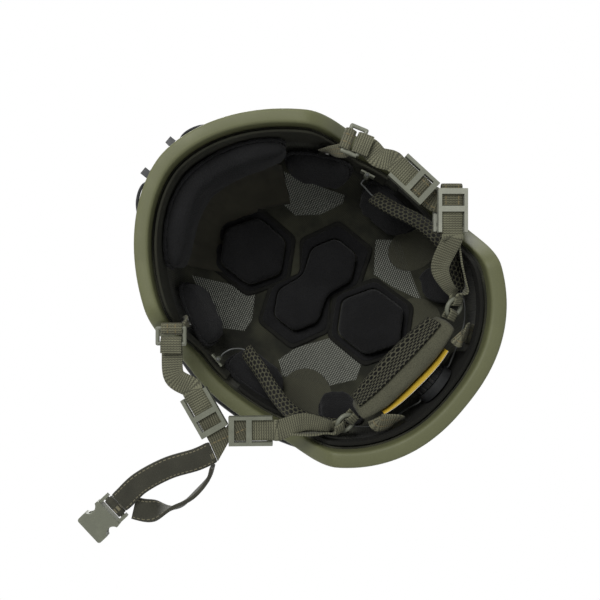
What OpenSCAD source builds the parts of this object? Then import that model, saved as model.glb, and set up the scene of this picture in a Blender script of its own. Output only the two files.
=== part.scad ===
// High-cut combat helmet with dial-fit liner and four-point chin harness.
// The helmet stands on its edge: the opening's plane is z = 0 and the crown points up.
// The brow is at -Y and the wearer's left side is at +X.

/* [Shell] */
// Length over the edge trim, brow to nape
helmet_len = 280; // [270:1:290]
// Width over the edge trim
helmet_w = 236; // [230:1:244]
// Height of the crown above the edge
crown_h = 170; // [162:1:180]
// Thickness of the moulded shell
shell_t = 8; // [6:0.5:9]
// Height of the ear cut above the lowest edge
cut_h = 52; // [46:1:58]
// Thickness of the rubber trim
trim_t = 1.5; // [1:0.25:2]
// Height of the trim's two legs
trim_h = 12; // [9:1:14]

/* [Liner] */
// Thickness of the cloth liner
liner_t = 2; // [1.5:0.25:3]
// Thickness of the headband and the rear cradle
band_t = 2.5; // [2:0.25:3]
// Height of the headband at the brow
band_h = 34; // [28:1:38]
// Thickness of the brow pad
brow_pad_t = 19; // [14:1:22]
// Thickness of the temple, side and rear pads
side_pad_t = 13; // [10:1:16]
// Thickness of the crown pads
crown_pad_t = 16; // [12:1:20]
// Corner radius of the front and rear crown pads
crown_pad_r = 37; // [33:0.5:37.5]
// Corner radius of the middle crown pad's two hexagons
mid_pad_r = 30; // [28.5:0.5:31]

/* [Nape] */
// Thickness of the nape pad at its middle
nape_pad_t = 20; // [16:1:22]
// Height of the nape pad at its middle
nape_pad_h = 42; // [34:1:46]
// Thickness of the spacer mesh on the nape pad
nape_mesh_t = 2.5; // [2:0.25:3]
// Radius of a nape ring's rod
ring_rod_r = 1.6; // [1.4:0.1:1.8]
// Radius of a nape ring to the middle of its rod
ring_r = 6.8; // [6.4:0.1:7.5]

/* [Fit dial] */
// Diameter of the dial
dial_d = 30; // [26:1:32]
// Thickness of the dial's rim
dial_t = 4.6; // [4:0.2:5.4]
// Diameter of the dial's spindle
spindle_d = 5; // [4:0.5:6]
// Diameter of the fit lace
lace_d = 1.2; // [1:0.1:1.4]

/* [Webbing] */
// Width of the strap webbing
web_w = 15; // [14:0.5:16]
// Thickness of the strap webbing
web_t = 1.6; // [1.4:0.1:1.8]
// Width of the chin cup's bands
band_w = 16; // [15:0.5:18]
// Thickness of the chin cup's bands
chin_t = 3; // [2.5:0.25:3.5]

/* [Buckles] */
// Length of a ladder lock
lock_len = 31; // [28:1:33]
// Width of a side rail of a ladder lock
lock_rail = 2.5; // [2:0.25:3]
// Height of a ladder lock
lock_h = 6; // [5.5:0.25:6.5]
// Radius of a keeper's rod
keeper_rod_r = 1.5; // [1.3:0.1:1.6]
// Length of the buckle's socket half
socket_len = 25; // [23:1:28]
// Width of the buckle's socket half
socket_w = 23; // [22:1:25]
// Height of the buckle's socket half
socket_h = 7; // [6.5:0.25:8]

/* [Rails and shroud] */
// Height of a side rail
rail_h = 32; // [26:1:36]
// Thickness of a side rail over its lips
rail_t = 8; // [6:0.5:9]
// Width of the shroud's base plate
shroud_w = 72; // [64:1:76]
// Width of the shroud's receiver
receiver_w = 36; // [32:1:40]
// Radius of a harness bolt's shank
bolt_r = 2.5; // [2:0.25:3]

/* [Hidden] */
$fn = 32;
half_l = helmet_len / 2 - trim_t;
half_w = helmet_w / 2 - trim_t;
front_n = 1.8;
rear_n = 2.3;
skirt_h = 40;
dome_n = 2.15;
run_fit = 0.05;
turns = 84;
dome_rings = 8;

olive = [0.40, 0.40, 0.30];
dark_olive = [0.22, 0.22, 0.17];
web_green = [0.33, 0.32, 0.26];
lock_grey = [0.50, 0.50, 0.45];
pad_black = [0.09, 0.09, 0.11];
rail_grey = [0.27, 0.27, 0.28];
steel = [0.6, 0.6, 0.6];

// Plain maths

function unit(v) = v / norm(v);
function signed_pow(v, e) = sign(v) * pow(abs(v), e);
function smooth(t) = let(c = min(1, max(0, t))) c * c * (3 - 2 * c);
function flat_list(lists) = [for (l = lists) for (p = l) p];
function level(v) = [v[0], v[1], 0];
function side_of(v) = unit(cross([0, 0, 1], v));
function curve(p, q, r, s, t) =
  0.5 * (2 * q + (r - p) * t + (2 * p - 5 * q + 4 * r - s) * t * t + (3 * q - p - 3 * r + s) * t * t * t);
function bend(list, steps) = let(n = len(list)) [
  for (i = [0:n - 2]) for (k = [0:steps - 1])
    curve(list[max(0, i - 1)], list[i], list[i + 1], list[min(n - 1, i + 2)], k / steps),
  list[n - 1]
];

// The helmet's own surface: angle a runs round the plan, z is the height, inset goes inwards

function plan_n(a) = sin(a) < 0 ? front_n : rear_n;
function plan(a, inset) = [
  (half_w - inset) * signed_pow(cos(a), 2 / plan_n(a)),
  (half_l - inset) * signed_pow(sin(a), 2 / plan_n(a))
];
function taper(z, inset) = let(t = max(0, z - skirt_h) / (crown_h - inset - skirt_h))
  pow(max(0, 1 - pow(min(1, t), dome_n)), 1 / dome_n);
function wall(a, z, inset) = let(p = plan(a, inset) * taper(z, inset)) [p[0], p[1], z];
function angle_at(x, y) = let(e = (y < 0 ? front_n : rear_n) / 2)
  atan2(signed_pow(y / half_l, e), signed_pow(x / half_w, e));
function front_wall(x, z, inset) = let(t = taper(z, inset))
  [x, -(half_l - inset) * t * pow(1 - pow(abs(x) / (half_w - inset) / t, front_n), 1 / front_n), z];
function edge_z(y) = cut_h * smooth((y + 80) / 48) * smooth((96 - y) / 38);
function edge_at(a) = edge_z(plan(a, 0)[1]);
function ceiling_z(x, y, inset) = let(
  e = y < 0 ? front_n : rear_n,
  r = pow(pow(abs(x) / (half_w - inset), e) + pow(abs(y) / (half_l - inset), e), 1 / e)
) skirt_h + (crown_h - inset - skirt_h) * pow(1 - pow(r, dome_n), 1 / dome_n);
function outward(a, z, inset) = unit(cross(
  wall(a + 1, z, inset) - wall(a - 1, z, inset), wall(a, z + 1, inset) - wall(a, z - 1, inset)
));

// Meshes

module rings_solid(rings, end_tiles = []) {
  n = len(rings[0]);
  m = len(rings);
  tiles = len(end_tiles) > 0 ? end_tiles : [[for (j = [0:n - 1]) j]];
  polyhedron(
    points = flat_list(rings),
    faces = concat(
      [for (t = tiles) [for (k = [len(t) - 1:-1:0]) t[k]]],
      [for (i = [0:m - 2]) for (j = [0:n - 1]) for (k = [0, 1])
        let(a = i * n + j, b = i * n + (j + 1) % n)
        k == 0 ? [a, b, b + n] : [a, b + n, a + n]],
      [for (t = tiles) [for (j = t) (m - 1) * n + j]]
    )
  );
}

module loop_solid(rings) {
  n = len(rings[0]);
  m = len(rings);
  polyhedron(
    points = flat_list(rings),
    faces = [for (i = [0:m - 1]) for (j = [0:n - 1]) for (k = [0, 1])
      let(a = i * n + j, b = i * n + (j + 1) % n, c = ((i + 1) % m) * n + j,
        d = ((i + 1) % m) * n + (j + 1) % n)
      k == 0 ? [a, d, b] : [a, c, d]]
  );
}

// The first rows, up to the given count, are split along their other diagonal
module poled_solid(first, rings, last, other = 0) {
  n = len(rings[0]);
  m = len(rings);
  top = m * n + 1;
  polyhedron(
    points = concat([first], flat_list(rings), [last]),
    faces = concat(
      [for (j = [0:n - 1]) [0, 1 + j, 1 + (j + 1) % n]],
      [for (i = [0:m - 2]) for (j = [0:n - 1]) for (k = [0, 1])
        let(a = 1 + i * n + j, b = 1 + i * n + (j + 1) % n)
        i < other
          ? (k == 0 ? [a, a + n, b] : [a + n, b + n, b])
          : (k == 0 ? [a, b + n, b] : [a, a + n, b + n])],
      [for (j = [0:n - 1]) [top, top - n + (j + 1) % n, top - n + j]]
    )
  );
}

// A dome between two insets. Its lower rings stand at the given heights above the edge line

module dome_layer(outer, inner, lows, count, other = 0) {
  last = len(lows) - 1;
  m = last + dome_rings;
  function height(a, k, inset) = let(z = edge_at(a) + lows[min(k, last)])
    z + (k > last ? (crown_h - inset - z) * sin(90 * (k - last) / (dome_rings + 1)) : 0);
  function ring(k, inset) = [for (j = [0:count - 1]) let(a = -360 * j / count)
    wall(a, height(a, k, inset), inset)];
  poled_solid(
    [0, 0, crown_h - outer],
    concat([for (k = [m:-1:0]) ring(k, outer)], [for (k = [0:m]) ring(k, inner)]),
    [0, 0, crown_h - inner], other
  );
}

// A band on the wall from angle a0 to a1

module wall_band(a0, a1, steps, outer, inner, low, high) {
  rings_solid([for (i = [0:steps]) let(a = a0 + (a1 - a0) * i / steps) [
    wall(a, low(a), outer), wall(a, high(a), outer), wall(a, high(a), inner), wall(a, low(a), inner)
  ]]);
}

// Cushions: an outline that shrinks and rises ring by ring, [share of the outline, share of the height]

cushion_rings = [[1, 0.12], [1.04, 0.4], [0.99, 0.68], [0.86, 0.88], [0.6, 0.98]];

function round_box(t, a, b) = [a * signed_pow(cos(t), 0.55), b * signed_pow(sin(t), 0.55)];
module wall_pad(a_mid, z_mid, half_len, half_h, inset, t) {
  reach = (half_w + half_l) / 2 - inset;
  function at(p, rise) = wall(a_mid + p[0] / reach * 57.3, z_mid + p[1], inset + rise);
  outline = [for (i = [0:23]) round_box(15 * i, half_len, half_h)];
  poled_solid(
    at([0, 0], t),
    concat(
      [for (k = [4:-1:0]) [for (p = outline) at(p * cushion_rings[k][0], t * cushion_rings[k][1])]],
      [[for (p = outline) at(p * 0.94, 0)], [for (p = outline) at(p * 0.5, 0)]]
    ),
    at([0, 0], 0)
  );
}

function hexagon(x, r, inset) = [for (i = [0:5])
  [x, 0] + (r - inset / cos(30)) * [sin(60 * i), cos(60 * i)]];
// The flange reaches further out at the corners that no other pad is near
function double_hexagon(gap, r, inset) = let(
  a = hexagon(gap / 2, r, inset), b = hexagon(-gap / 2, r, inset),
  reach = mid_flange * max(0, 1 - inset / flange_in),
  grown = function(p, x, share) p + unit(p - [x, 0]) * reach * share
)
  [a[0], grown(a[1], gap / 2, 1), grown(a[2], gap / 2, 1), grown(a[3], gap / 2, 0.7),
   [0, inset * 0.4 - r * 0.56],
   b[3], grown(b[4], -gap / 2, 1), grown(b[5], -gap / 2, 1), grown(b[0], -gap / 2, 0.7),
   [0, r * 0.56 - inset * 0.4]];
// Each corner becomes three points, and each edge gets one at its middle
function soften(list, c) = let(n = len(list)) flat_list([for (i = [n - 1:-1:0]) let(
  p = list[i], before = list[(i + 1) % n], after = list[(i + n - 1) % n]
) [p + c * unit(before - p), p * 0.6 + 0.2 * (2 * p + c * 0.7 * (unit(before - p) + unit(after - p))),
   p + c * unit(after - p), (p + after) / 2]]);
mid_flange = 6;
flange_in = 5.2;
hexagon_rings = [[0, 0.5], [0, 2.5], [flange_in, 3.2], [5.6, 0.7], [7.2, 0.93], [13, 1]];

module crown_pad(x, y, t, outline) {
  base = pad_on_liner + 0.25;
  rings = [for (k = [5:-1:0]) let(r = hexagon_rings[k]) [r[0], k < 3 ? r[1] : r[1] * t]];
  function at(p, rise) = [x + p[0], y + p[1], ceiling_z(x + p[0], y + p[1], base + rise)];
  poled_solid(
    at([0, 0], t * 1.02),
    concat(
      [for (k = rings) [for (p = outline(k[0])) at(p, k[1])]],
      [[for (p = outline(1)) at(p, 0)], [for (p = outline(14)) at(p, 0)]]
    ),
    at([0, 0], 0)
  );
}

// Straps: each control is [point, direction across the width, width, thickness]

module strap(controls, steps) {
  pts = bend([for (c = controls) c[0]], steps);
  ups = bend([for (c = controls) c[1]], steps);
  ws = bend([for (c = controls) c[2]], steps);
  ts = bend([for (c = controls) c[3]], steps);
  n = len(pts);
  rings_solid([for (i = [0:n - 1]) let(
    way = unit(pts[min(n - 1, i + 1)] - pts[max(0, i - 1)]),
    across = unit(ups[i] - (ups[i] * way) * way),
    normal = cross(way, across),
    u = across * ws[i] / 2,
    v = normal * ts[i] / 2
  ) [pts[i] - u + v, pts[i] + u + v, pts[i] + u - v, pts[i] - u - v]]);
}

function web(p, across) = [p, across, web_w, web_t];
function web_narrow(p, across, w) = [p, across, w, web_t];

// Webbing round a rod at c, from angle a0 to a1 between the directions lead and up
function turn_round(c, lead, up, r, across, a0, a1) =
  [for (a = [a0:(a1 - a0) / ceil(abs(a1 - a0) / 45):a1])
    web(c + r * (sin(a) * up + cos(a) * lead), across)];

module tube_run(points, rx, ry, across, sides, steps) {
  pts = bend(points, steps);
  n = len(pts);
  rings_solid([for (i = [0:n - 1]) let(
    way = unit(pts[min(n - 1, i + 1)] - pts[max(0, i - 1)]),
    u = unit(across - (across * way) * way),
    v = cross(u, way)
  ) [for (j = [0:sides - 1]) pts[i] + u * rx * cos(360 * j / sides) + v * ry * sin(360 * j / sides)]]);
}

// A tube with an elliptical bore, for radii [along across, square to it]
module hollow_run(points, outer, bore, across, sides, steps) {
  pts = bend(points, steps);
  n = len(pts);
  function ring(i, r) = let(
    way = unit(pts[min(n - 1, i + 1)] - pts[max(0, i - 1)]),
    u = unit(across - (across * way) * way),
    v = cross(u, way)
  ) [for (j = [0:sides - 1]) pts[i] + u * r[0] * cos(360 * j / sides) + v * r[1] * sin(360 * j / sides)];
  loop_solid(concat([for (i = [n - 1:-1:0]) ring(i, outer)], [for (i = [0:n - 1]) ring(i, bore)]));
}

module place(at, yaw) translate(at) rotate([0, 0, yaw]) children();
function yaw_of(v) = atan2(v[1], v[0]);
module point_along(at, way) {
  translate(at) rotate([0, acos(unit(way)[2]), atan2(way[1], way[0])]) children();
}

// Fastener places: [angle round the plan, height]

front_bolt_a = angle_at(88, -57);
front_bolt_z = 50;
rear_bolt_x = 48;
rear_bolt_a = angle_at(rear_bolt_x, 124);
rear_bolt_z = 38;
bolt_places = [
  [front_bolt_a, front_bolt_z], [180 - front_bolt_a, front_bolt_z],
  [rear_bolt_a, rear_bolt_z], [180 - rear_bolt_a, rear_bolt_z]
];
rail_z = cut_h + trim_h + 4;
rail_front_a = -34;
rail_rear_a = 40;
rail_hole_z = rail_z + rail_h / 2;
rail_places = [for (a = [rail_front_a + 3, rail_rear_a - 3]) for (m = [0, 1])
  [m == 0 ? a : 180 - a, rail_hole_z]];
shroud_z = 28;
shroud_h = 52;
shroud_places = [[-90, shroud_z + shroud_h - 8], [-110, shroud_z + 12], [-70, shroud_z + 12]];
screw_r = 2;

module shell() color(olive) difference() {
  dome_layer(0, shell_t, [trim_t + 0.15, trim_h, trim_h + 10], turns);
  for (b = bolt_places) drill(b, bolt_r + 0.2);
  for (b = concat(rail_places, shroud_places)) drill(b, screw_r + 0.2);
}

// A fastener's own frame: z = 0 on the shell's outer face, +z outwards
module on_wall(b) point_along(wall(b[0], b[1], shell_t / 2), outward(b[0], b[1], shell_t / 2))
  translate([0, 0, shell_t / 2]) children();
module drill(b, r) on_wall(b) translate([0, 0, -3 * shell_t]) cylinder(r = r, h = 5 * shell_t);

module edge_trim() color(olive * 1.05) {
  gap = 0.15;
  legs = [
    [-trim_t, trim_h], [-trim_t, 1], [1 - trim_t, 0], [shell_t + trim_t - 1, 0], [shell_t + trim_t, 1],
    [shell_t + trim_t, trim_h], [shell_t + gap, trim_h], [shell_t + gap, trim_t], [-gap, trim_t],
    [-gap, trim_h]
  ];
  loop_solid([for (j = [0:turns - 1]) let(a = 360 * j / turns, z = edge_at(a))
    [for (p = legs) wall(a, z + p[1], p[0])]]);
}

module liner() color(dark_olive) difference() {
  dome_layer(shell_t + 0.6, shell_t + 0.6 + liner_t, [trim_h + 0.6, trim_h + 10], turns, 9);
  for (b = bolt_places) drill(b, bolt_r + 0.3);
}

// Bands that stand just inside the liner
band_inset = shell_t + liner_t + 2;
band_in = band_inset + band_t;
function band_low(a) = edge_at(a) + trim_h - 4;
function band_high(a) = max(band_h + 8, edge_at(a) + trim_h + 12);
headband_a = 3;

module headband() color(dark_olive * 1.2) difference() {
  wall_band(-180 + headband_a, -headband_a, 48, band_inset, band_in,
    function(a) band_low(a), function(a) band_high(a));
  for (i = [0, 1]) drill(bolt_places[i], bolt_r + 0.3);
}

cradle_a = 2;
cradle_wide_a = angle_at(34, 130);
arm_h = 12;
function cradle_low(a) = max(9, edge_at(a) + trim_h - 1);
function cradle_high(a) = let(side = min(a, 180 - a))
  cradle_low(a) + arm_h + (58 - 9 - arm_h) * smooth((side - cradle_wide_a + 1) / 3);
module cradle() color(dark_olive * 0.7)
  wall_band(cradle_a, 180 - cradle_a, 64, band_inset, band_in,
    function(a) cradle_low(a), function(a) cradle_high(a));

pad_on_band = band_in + 0.7;
pad_on_liner = shell_t + liner_t + 1.25;

module brow_pad() color(pad_black) wall_pad(-87, 45, 82, 23, pad_on_band, brow_pad_t);
module temple_pad(a, half) wall_pad(a, 77, half, 18, pad_on_band, side_pad_t + 1);
module temple_pad_left() color(pad_black) temple_pad(-31.5, 26);
module temple_pad_right() color(pad_black) temple_pad(-148.5, 26);
module side_pad(a) wall_pad(a, 95, 26, 18, pad_on_liner, side_pad_t);
module side_pad_left() color(pad_black) side_pad(3.5);
module side_pad_right() color(pad_black) side_pad(175.5);
module rear_pad(a) wall_pad(a, 88, 20, 17, pad_on_liner + 0.35, side_pad_t);
module rear_pad_left() color(pad_black) rear_pad(46);
module rear_pad_right() color(pad_black) rear_pad(134);
module single_crown_pad(x, y)
  crown_pad(x, y, crown_pad_t, function(inset) soften(hexagon(0, crown_pad_r, inset), 4));
module crown_pad_front() color(pad_black) single_crown_pad(-9, -58);
module crown_pad_rear() color(pad_black) single_crown_pad(8, 62);
module crown_pad_middle() color(pad_black) crown_pad(2.6, 3.5, crown_pad_t - 2,
  function(inset) soften(double_hexagon(49, mid_pad_r, inset), 4));

// Screws and bolts

tab_inset = shell_t + liner_t + 2.4;
anchor_inset = band_in + web_t / 2 + 1;
function tab_in(b) = b[0] < 0 || b[0] > 180 ? anchor_inset : tab_inset;

module harness_bolts() color(steel) for (b = bolt_places) on_wall(b) {
  inside = tab_in(b) + web_t / 2 + 0.5;
  translate([0, 0, 0.5]) cylinder(r = 5.4, h = 1.3);
  translate([0, 0, 1.8]) cylinder(r = 4.2, h = 1);
  translate([0, 0, -inside - 1.8]) cylinder(r = bolt_r, h = inside + 3);
  translate([0, 0, -inside - 1.8]) cylinder(r = 4.8, h = 1.8);
}

module short_screw(b, seat, deep) on_wall(b) {
  translate([0, 0, seat]) cylinder(r = 3.6, h = 2);
  translate([0, 0, -deep]) cylinder(r = screw_r, h = deep + seat + 1);
}

rail_plate_t = 4;
shroud_plate_t = 4;
module rail_screws() color(steel)
  for (b = rail_places) short_screw(b, rail_plate_t + 0.3, shell_t - 1);
module shroud_screws() color(steel)
  for (b = shroud_places) short_screw(b, shroud_plate_t + 0.3, shell_t - 1);

rail_bore_r = 2.1;
rail_bores = [[-15, rail_hole_z], [10.5, rail_hole_z]];
module rail_blank() {
  lip = 6;
  section = [
    [0.8, 0], [rail_t - 1, 0], [rail_t, 1], [rail_t, lip], [rail_plate_t, lip + 1.5],
    [rail_plate_t, rail_h - lip - 1.5], [rail_t, rail_h - lip], [rail_t, rail_h - 1],
    [rail_t - 1, rail_h], [0.8, rail_h], [0.8, rail_h * 0.75], [0.8, rail_h * 0.5], [0.8, rail_h * 0.25]
  ];
  // The section has an open channel, so its ends are tiled, lip by lip
  end_tiles = [
    [0, 1, 2], [0, 2, 3], [0, 3, 4], [0, 4, 12], [12, 4, 5], [12, 5, 11], [11, 5, 10], [10, 5, 9],
    [9, 5, 6], [9, 6, 7], [9, 7, 8]
  ];
  rings_solid([for (i = [0:20]) let(a = rail_front_a + (rail_rear_a - rail_front_a) * i / 20)
    [for (p = section) wall(a, rail_z + p[1], -p[0])]], end_tiles);
}
module rail_left() color(rail_grey) difference() {
  rail_blank();
  for (b = [rail_places[0], rail_places[2]]) drill(b, screw_r + 0.2);
  for (b = rail_bores) drill(b, rail_bore_r);
}
module rail_right() color(rail_grey) mirror([1, 0, 0]) rail_left();

receiver_out = 13.5;
receiver_lean = 4;
pocket_w = 24;
pocket_h = 26;
pocket_d = 5.5;
lanyard_r = 1.6;
lanyard_z = 5;
lanyard_y = pocket_d - receiver_out + 2.1;
module shroud_plate() {
  mid_z = shroud_z + shroud_h / 2;
  function at(p, out) = front_wall(p[0], mid_z + p[1], -out);
  outline = [for (i = [0:23]) let(p = round_box(-15 * i, shroud_w / 2, shroud_h / 2))
    [p[0] * (0.84 + 0.16 * sin(15 * i)), p[1]]];
  poled_solid(
    at([0, 0], shroud_plate_t),
    [[for (p = outline) at(p * 0.55, shroud_plate_t)], [for (p = outline) at(p * 0.96, shroud_plate_t)],
     [for (p = outline) at(p, shroud_plate_t - 1.2)], [for (p = outline) at(p, 0.8)],
     [for (p = outline) at(p * 0.78, 0.8)], [for (p = outline) at(p * 0.4, 0.8)]],
    at([0, 0], 0.8)
  );
}
module at_receiver() translate([0, -half_l - 1, shroud_z + 6]) rotate([-receiver_lean, 0, 0])
  children();
module shroud() color(rail_grey) difference() {
  union() {
    shroud_plate();
    at_receiver() translate([-receiver_w / 2, 0.5 - receiver_out, 0])
      cube([receiver_w, receiver_out - 1, shroud_h - 22]);
  }
  at_receiver() {
    translate([-pocket_w / 2, -receiver_out - 0.5, -1]) cube([pocket_w, pocket_d, pocket_h + 1]);
    translate([-receiver_w, lanyard_y, lanyard_z]) rotate([0, 90, 0])
      cylinder(r = lanyard_r, h = 2 * receiver_w);
  }
  for (b = shroud_places) drill(b, screw_r + 0.2);
}

// The elastic lanyard runs through the receiver and hangs in a loop on each side, from a hook
bungee_r = 1.2;
hook_x = 43;
hook_z = shroud_z + 25;
module bungee() color(pad_black) {
  mid = [0, lanyard_y * cos(receiver_lean) + lanyard_z * sin(receiver_lean) - half_l - 1,
    shroud_z + 6 + lanyard_z * cos(receiver_lean) - lanyard_y * sin(receiver_lean)];
  side = [
    [receiver_w / 4, 0, 0], [receiver_w / 2 + 1, 0, 0], [receiver_w / 2 + 6, -0.6, -3], [30, 2.4, -9],
    [37, 6.5, -9.5], [43, 11.5, -5], [46, 15, 2]
  ];
  hook = front_wall(hook_x, hook_z, -3.4);
  ends = [for (p = side) mid + p];
  route = concat(
    [hook - [0, 0, 2]], [hook + [1.5, -0.6, -6]],
    [for (i = [len(ends) - 1:-1:0]) ends[i]],
    [for (p = ends) [-p[0], p[1], p[2]]],
    [[-hook[0] - 1.5, hook[1] - 0.6, hook[2] - 6], [-hook[0], hook[1], hook[2] - 2]]
  );
  tube_run(route, bungee_r, bungee_r, [0.1, 0.3, 1], 8, 3);
  for (m = [-1, 1]) translate([m * hook[0], hook[1], hook[2]]) rotate([0, 0, m * 24])
    translate([-2.6, -1.8, -1.8]) cube([5.2, 4, 7]);
}

// The fit dial: its own z runs forwards, away from the cradle

dial_x = -2;
dial_z = 32;
dial_y = wall(90, dial_z, band_in)[1] - 1.8;
housing_h = 6.6;
knob_z = housing_h + 0.5;
spool_z = 1.8;
spool_h = 3.2;
spool_d = 8.4;
module at_dial() translate([dial_x, dial_y, dial_z]) rotate([90, 0, 0]) children();

module dial_housing() color(rail_grey) at_dial() difference() {
  cylinder(d = dial_d + 1, h = housing_h);
  translate([0, 0, 1.4]) cylinder(d = dial_d - 8, h = housing_h - 2.6);
  translate([0, 0, 0.6]) cylinder(r = spindle_d / 2 + run_fit, h = housing_h);
  for (s = [-1, 1]) translate([0, 0, spool_z + spool_h / 2]) rotate([0, 90 * s, 0])
    cylinder(d = lace_d + 0.8, h = dial_d);
}
module dial_spindle() color(steel) at_dial() {
  translate([0, 0, 0.9]) cylinder(d = spindle_d, h = knob_z - 0.6);
  translate([0, 0, knob_z + 0.2]) cylinder(d = spindle_d - 0.4, h = dial_t - 1.9, $fn = 6);
}
module dial_spool() color(rail_grey) at_dial() translate([0, 0, spool_z]) difference() {
  union() {
    cylinder(d = dial_d - 10, h = 0.8);
    cylinder(d = spool_d, h = spool_h);
    translate([0, 0, spool_h - 0.8]) cylinder(d = dial_d - 10, h = 0.8);
  }
  translate([0, 0, -1]) cylinder(d = spindle_d + 0.04, h = spool_h + 2);
}
module dial_knob() color(rail_grey * 0.8) at_dial() translate([0, 0, knob_z]) difference() {
  cylinder(d = dial_d, h = dial_t);
  for (i = [0:17]) rotate([0, 0, 20 * i]) translate([dial_d / 2 + 0.6, 0, -1])
    cylinder(r = 1.5, h = dial_t + 2);
  translate([0, 0, dial_t - 1]) cylinder(d = dial_d - 10, h = 2);
  translate([0, 0, -1]) cylinder(d = spindle_d - 0.2, h = dial_t - 0.4, $fn = 6);
  translate([0, 0, -1]) cylinder(d = spindle_d + 0.4, h = 1.4);
}

// The lace leaves the housing's two sides, runs inside the sleeves and ends at the guides

guide_a = -11.5;
guide_z = 66;
guide_len = 12;
guide_inset = band_in + 4;
lace_y = dial_y - spool_z - spool_h / 2;
up = [0, 0, 1];
function guide_at() = wall(guide_a, guide_z, guide_inset);
function guide_way() = unit(level(
  wall(guide_a + 3, guide_z, guide_inset) - wall(guide_a - 3, guide_z, guide_inset)
));
sleeve_path = [
  [75, -6, 66], [79, 12, 57], [84.6, 32, 46.8], [86.6, 52, 40], [79.6, 73.8, 42], [67.8, 91.6, 45]
];
sleeve_lean = [0.75, 0.1, 0.6];
sleeve_shift = [9, 2, -3];
function sleeve_points(m) = [for (i = [0:len(sleeve_path) - 1]) let(p = sleeve_path[i])
  m > 0 ? p + sleeve_shift * max(0, 1 - i / 3) : [-p[0], p[1], p[2]]];
module lace_run(m) {
  g = guide_at();
  start = sleeve_points(m)[0];
  housing = m * dial_x + dial_d / 2 - 1.5;
  route = concat(
    [for (x = [0, 2.5, 5]) [housing + x, lace_y, dial_z]],
    [[31, lace_y - 1.5, dial_z + 12],
     [48, lace_y - 7, dial_z + 16], [60, lace_y - 16, dial_z + 15]],
    [for (i = [len(sleeve_path) - 1:-1:0]) let(p = sleeve_points(m)[i]) [abs(p[0]), p[1], p[2]]],
    [[(abs(start[0]) * 2 + g[0]) / 3, g[1] + 4, start[2] + 10], g + [-5, 0, 10], g + [-0.4, 0, 7],
     g + [0, 0, 3], g - [0, 0, 6]]
  );
  tube_run([for (p = route) [m * p[0], p[1], p[2]]], lace_d / 2, lace_d / 2, [m * 0.3, 0.9, 0.2], 6, 3);
  translate([m * g[0], g[1], g[2] - 8.2]) cylinder(r = 1.5, h = 2.6);
}
module lace() color([0.75, 0.77, 0.75]) for (m = [-1, 1]) lace_run(m);

module lace_guide_left() color(lock_grey)
  translate(guide_at()) rotate([0, 0, yaw_of(guide_way())]) difference() {
    union() {
      translate([-guide_len / 2, -2, -5]) cube([guide_len, 1.4, 9.5]);
      translate([0, 0, -5]) cylinder(r = 2.1, h = 10);
    }
    cylinder(d = lace_d + 0.6, h = 30, center = true);
  }
module lace_guide_right() color(lock_grey) mirror([1, 0, 0]) lace_guide_left();

sleeve_r = [8, 3.8];
module sleeve(m)
  hollow_run(sleeve_points(m), sleeve_r, sleeve_r - [1.8, 1.8],
    [m * sleeve_lean[0], sleeve_lean[1], sleeve_lean[2]], 12, 3);
module sleeve_left() color(web_green * 0.9) sleeve(1);
module sleeve_right() color(web_green * 0.9) sleeve(-1);

// The nape pad is a crescent between the two nape rings

nape_right = [-55, half_l - 53, 24];
nape_left = [40, half_l - 43, 25];
nape_path = [
  nape_right, [-34, half_l - 48.5, 28], [-10, half_l - 46, 30], [16, half_l - 43.5, 29], nape_left
];
nape_fat = [0.72, 0.95, 1, 1, 0.76];
nape_tall = [0.55, 0.88, 1, 0.9, 0.58];
nape_lean = 0.17;
nape_pts = bend(nape_path, 4);
nape_fats = bend(nape_fat, 4);
nape_talls = bend(nape_tall, 4);
function nape_way(i) = unit(level(nape_pts[min(len(nape_pts) - 1, i + 1)] - nape_pts[max(0, i - 1)]));
function nape_normal(i) = side_of(nape_way(i));
function nape_point(i, t, out) = let(z = signed_pow(sin(t), 0.6) * (nape_pad_h / 2 * nape_talls[i] + out))
  nape_pts[i] + [0, 0, z]
  + nape_normal(i) * (signed_pow(cos(t), 0.6) * (nape_pad_t / 2 * nape_fats[i] + out) - nape_lean * z);
module nape_pad() color(web_green * 0.9)
  rings_solid([for (i = [0:len(nape_pts) - 1]) [for (j = [0:15]) nape_point(i, -22.5 * j, 0)]]);
module nape_mesh() color(web_green)
  rings_solid([for (i = [1:len(nape_pts) - 2]) concat(
    [for (j = [0:6]) nape_point(i, 120 + 20 * j, 0.4)],
    [for (j = [6:-1:0]) nape_point(i, 120 + 20 * j, 0.4 + nape_mesh_t)]
  )]);

// Frames of the two nape rings: d points to the pad, w lies along the rods that the webbing wraps

ring_gap = 11;
function ring_centre(tip, d) = tip - d * ring_gap;
ring_right_d = unit([0.96, 0.1, 0.05]);
ring_left_d = unit([-0.96, 0.2, 0.05]);
ring_right_w = unit(side_of(ring_right_d) * 0.8 + [0, 0, 0.6] - ring_right_d * 0.06);
ring_left_w = unit(side_of(ring_left_d) * 0.8 - [0, 0, 0.6] + ring_left_d * 0.06);
ring_right = ring_centre(nape_right, ring_right_d);
ring_left = ring_centre(nape_left, ring_left_d);
loop_r = ring_rod_r + web_t / 2 + 0.4;
loop_in = 1.9;
loop_w = 8;

module frame_at(p, d, w) {
  n = cross(d, w);
  multmatrix([
    [d[0], w[0], n[0], p[0]], [d[1], w[1], n[1], p[1]], [d[2], w[2], n[2], p[2]], [0, 0, 0, 1]
  ]) children();
}
function square_w(d, w) = unit(w - (w * d) * d);
module nape_ring(p, d, w) frame_at(p, d, square_w(d, w))
  rotate_extrude() translate([ring_r, 0]) circle(ring_rod_r);
module nape_ring_right() color(lock_grey) nape_ring(ring_right, ring_right_d, ring_right_w);
module nape_ring_left() color(lock_grey) nape_ring(ring_left, ring_left_d, ring_left_w);

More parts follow.
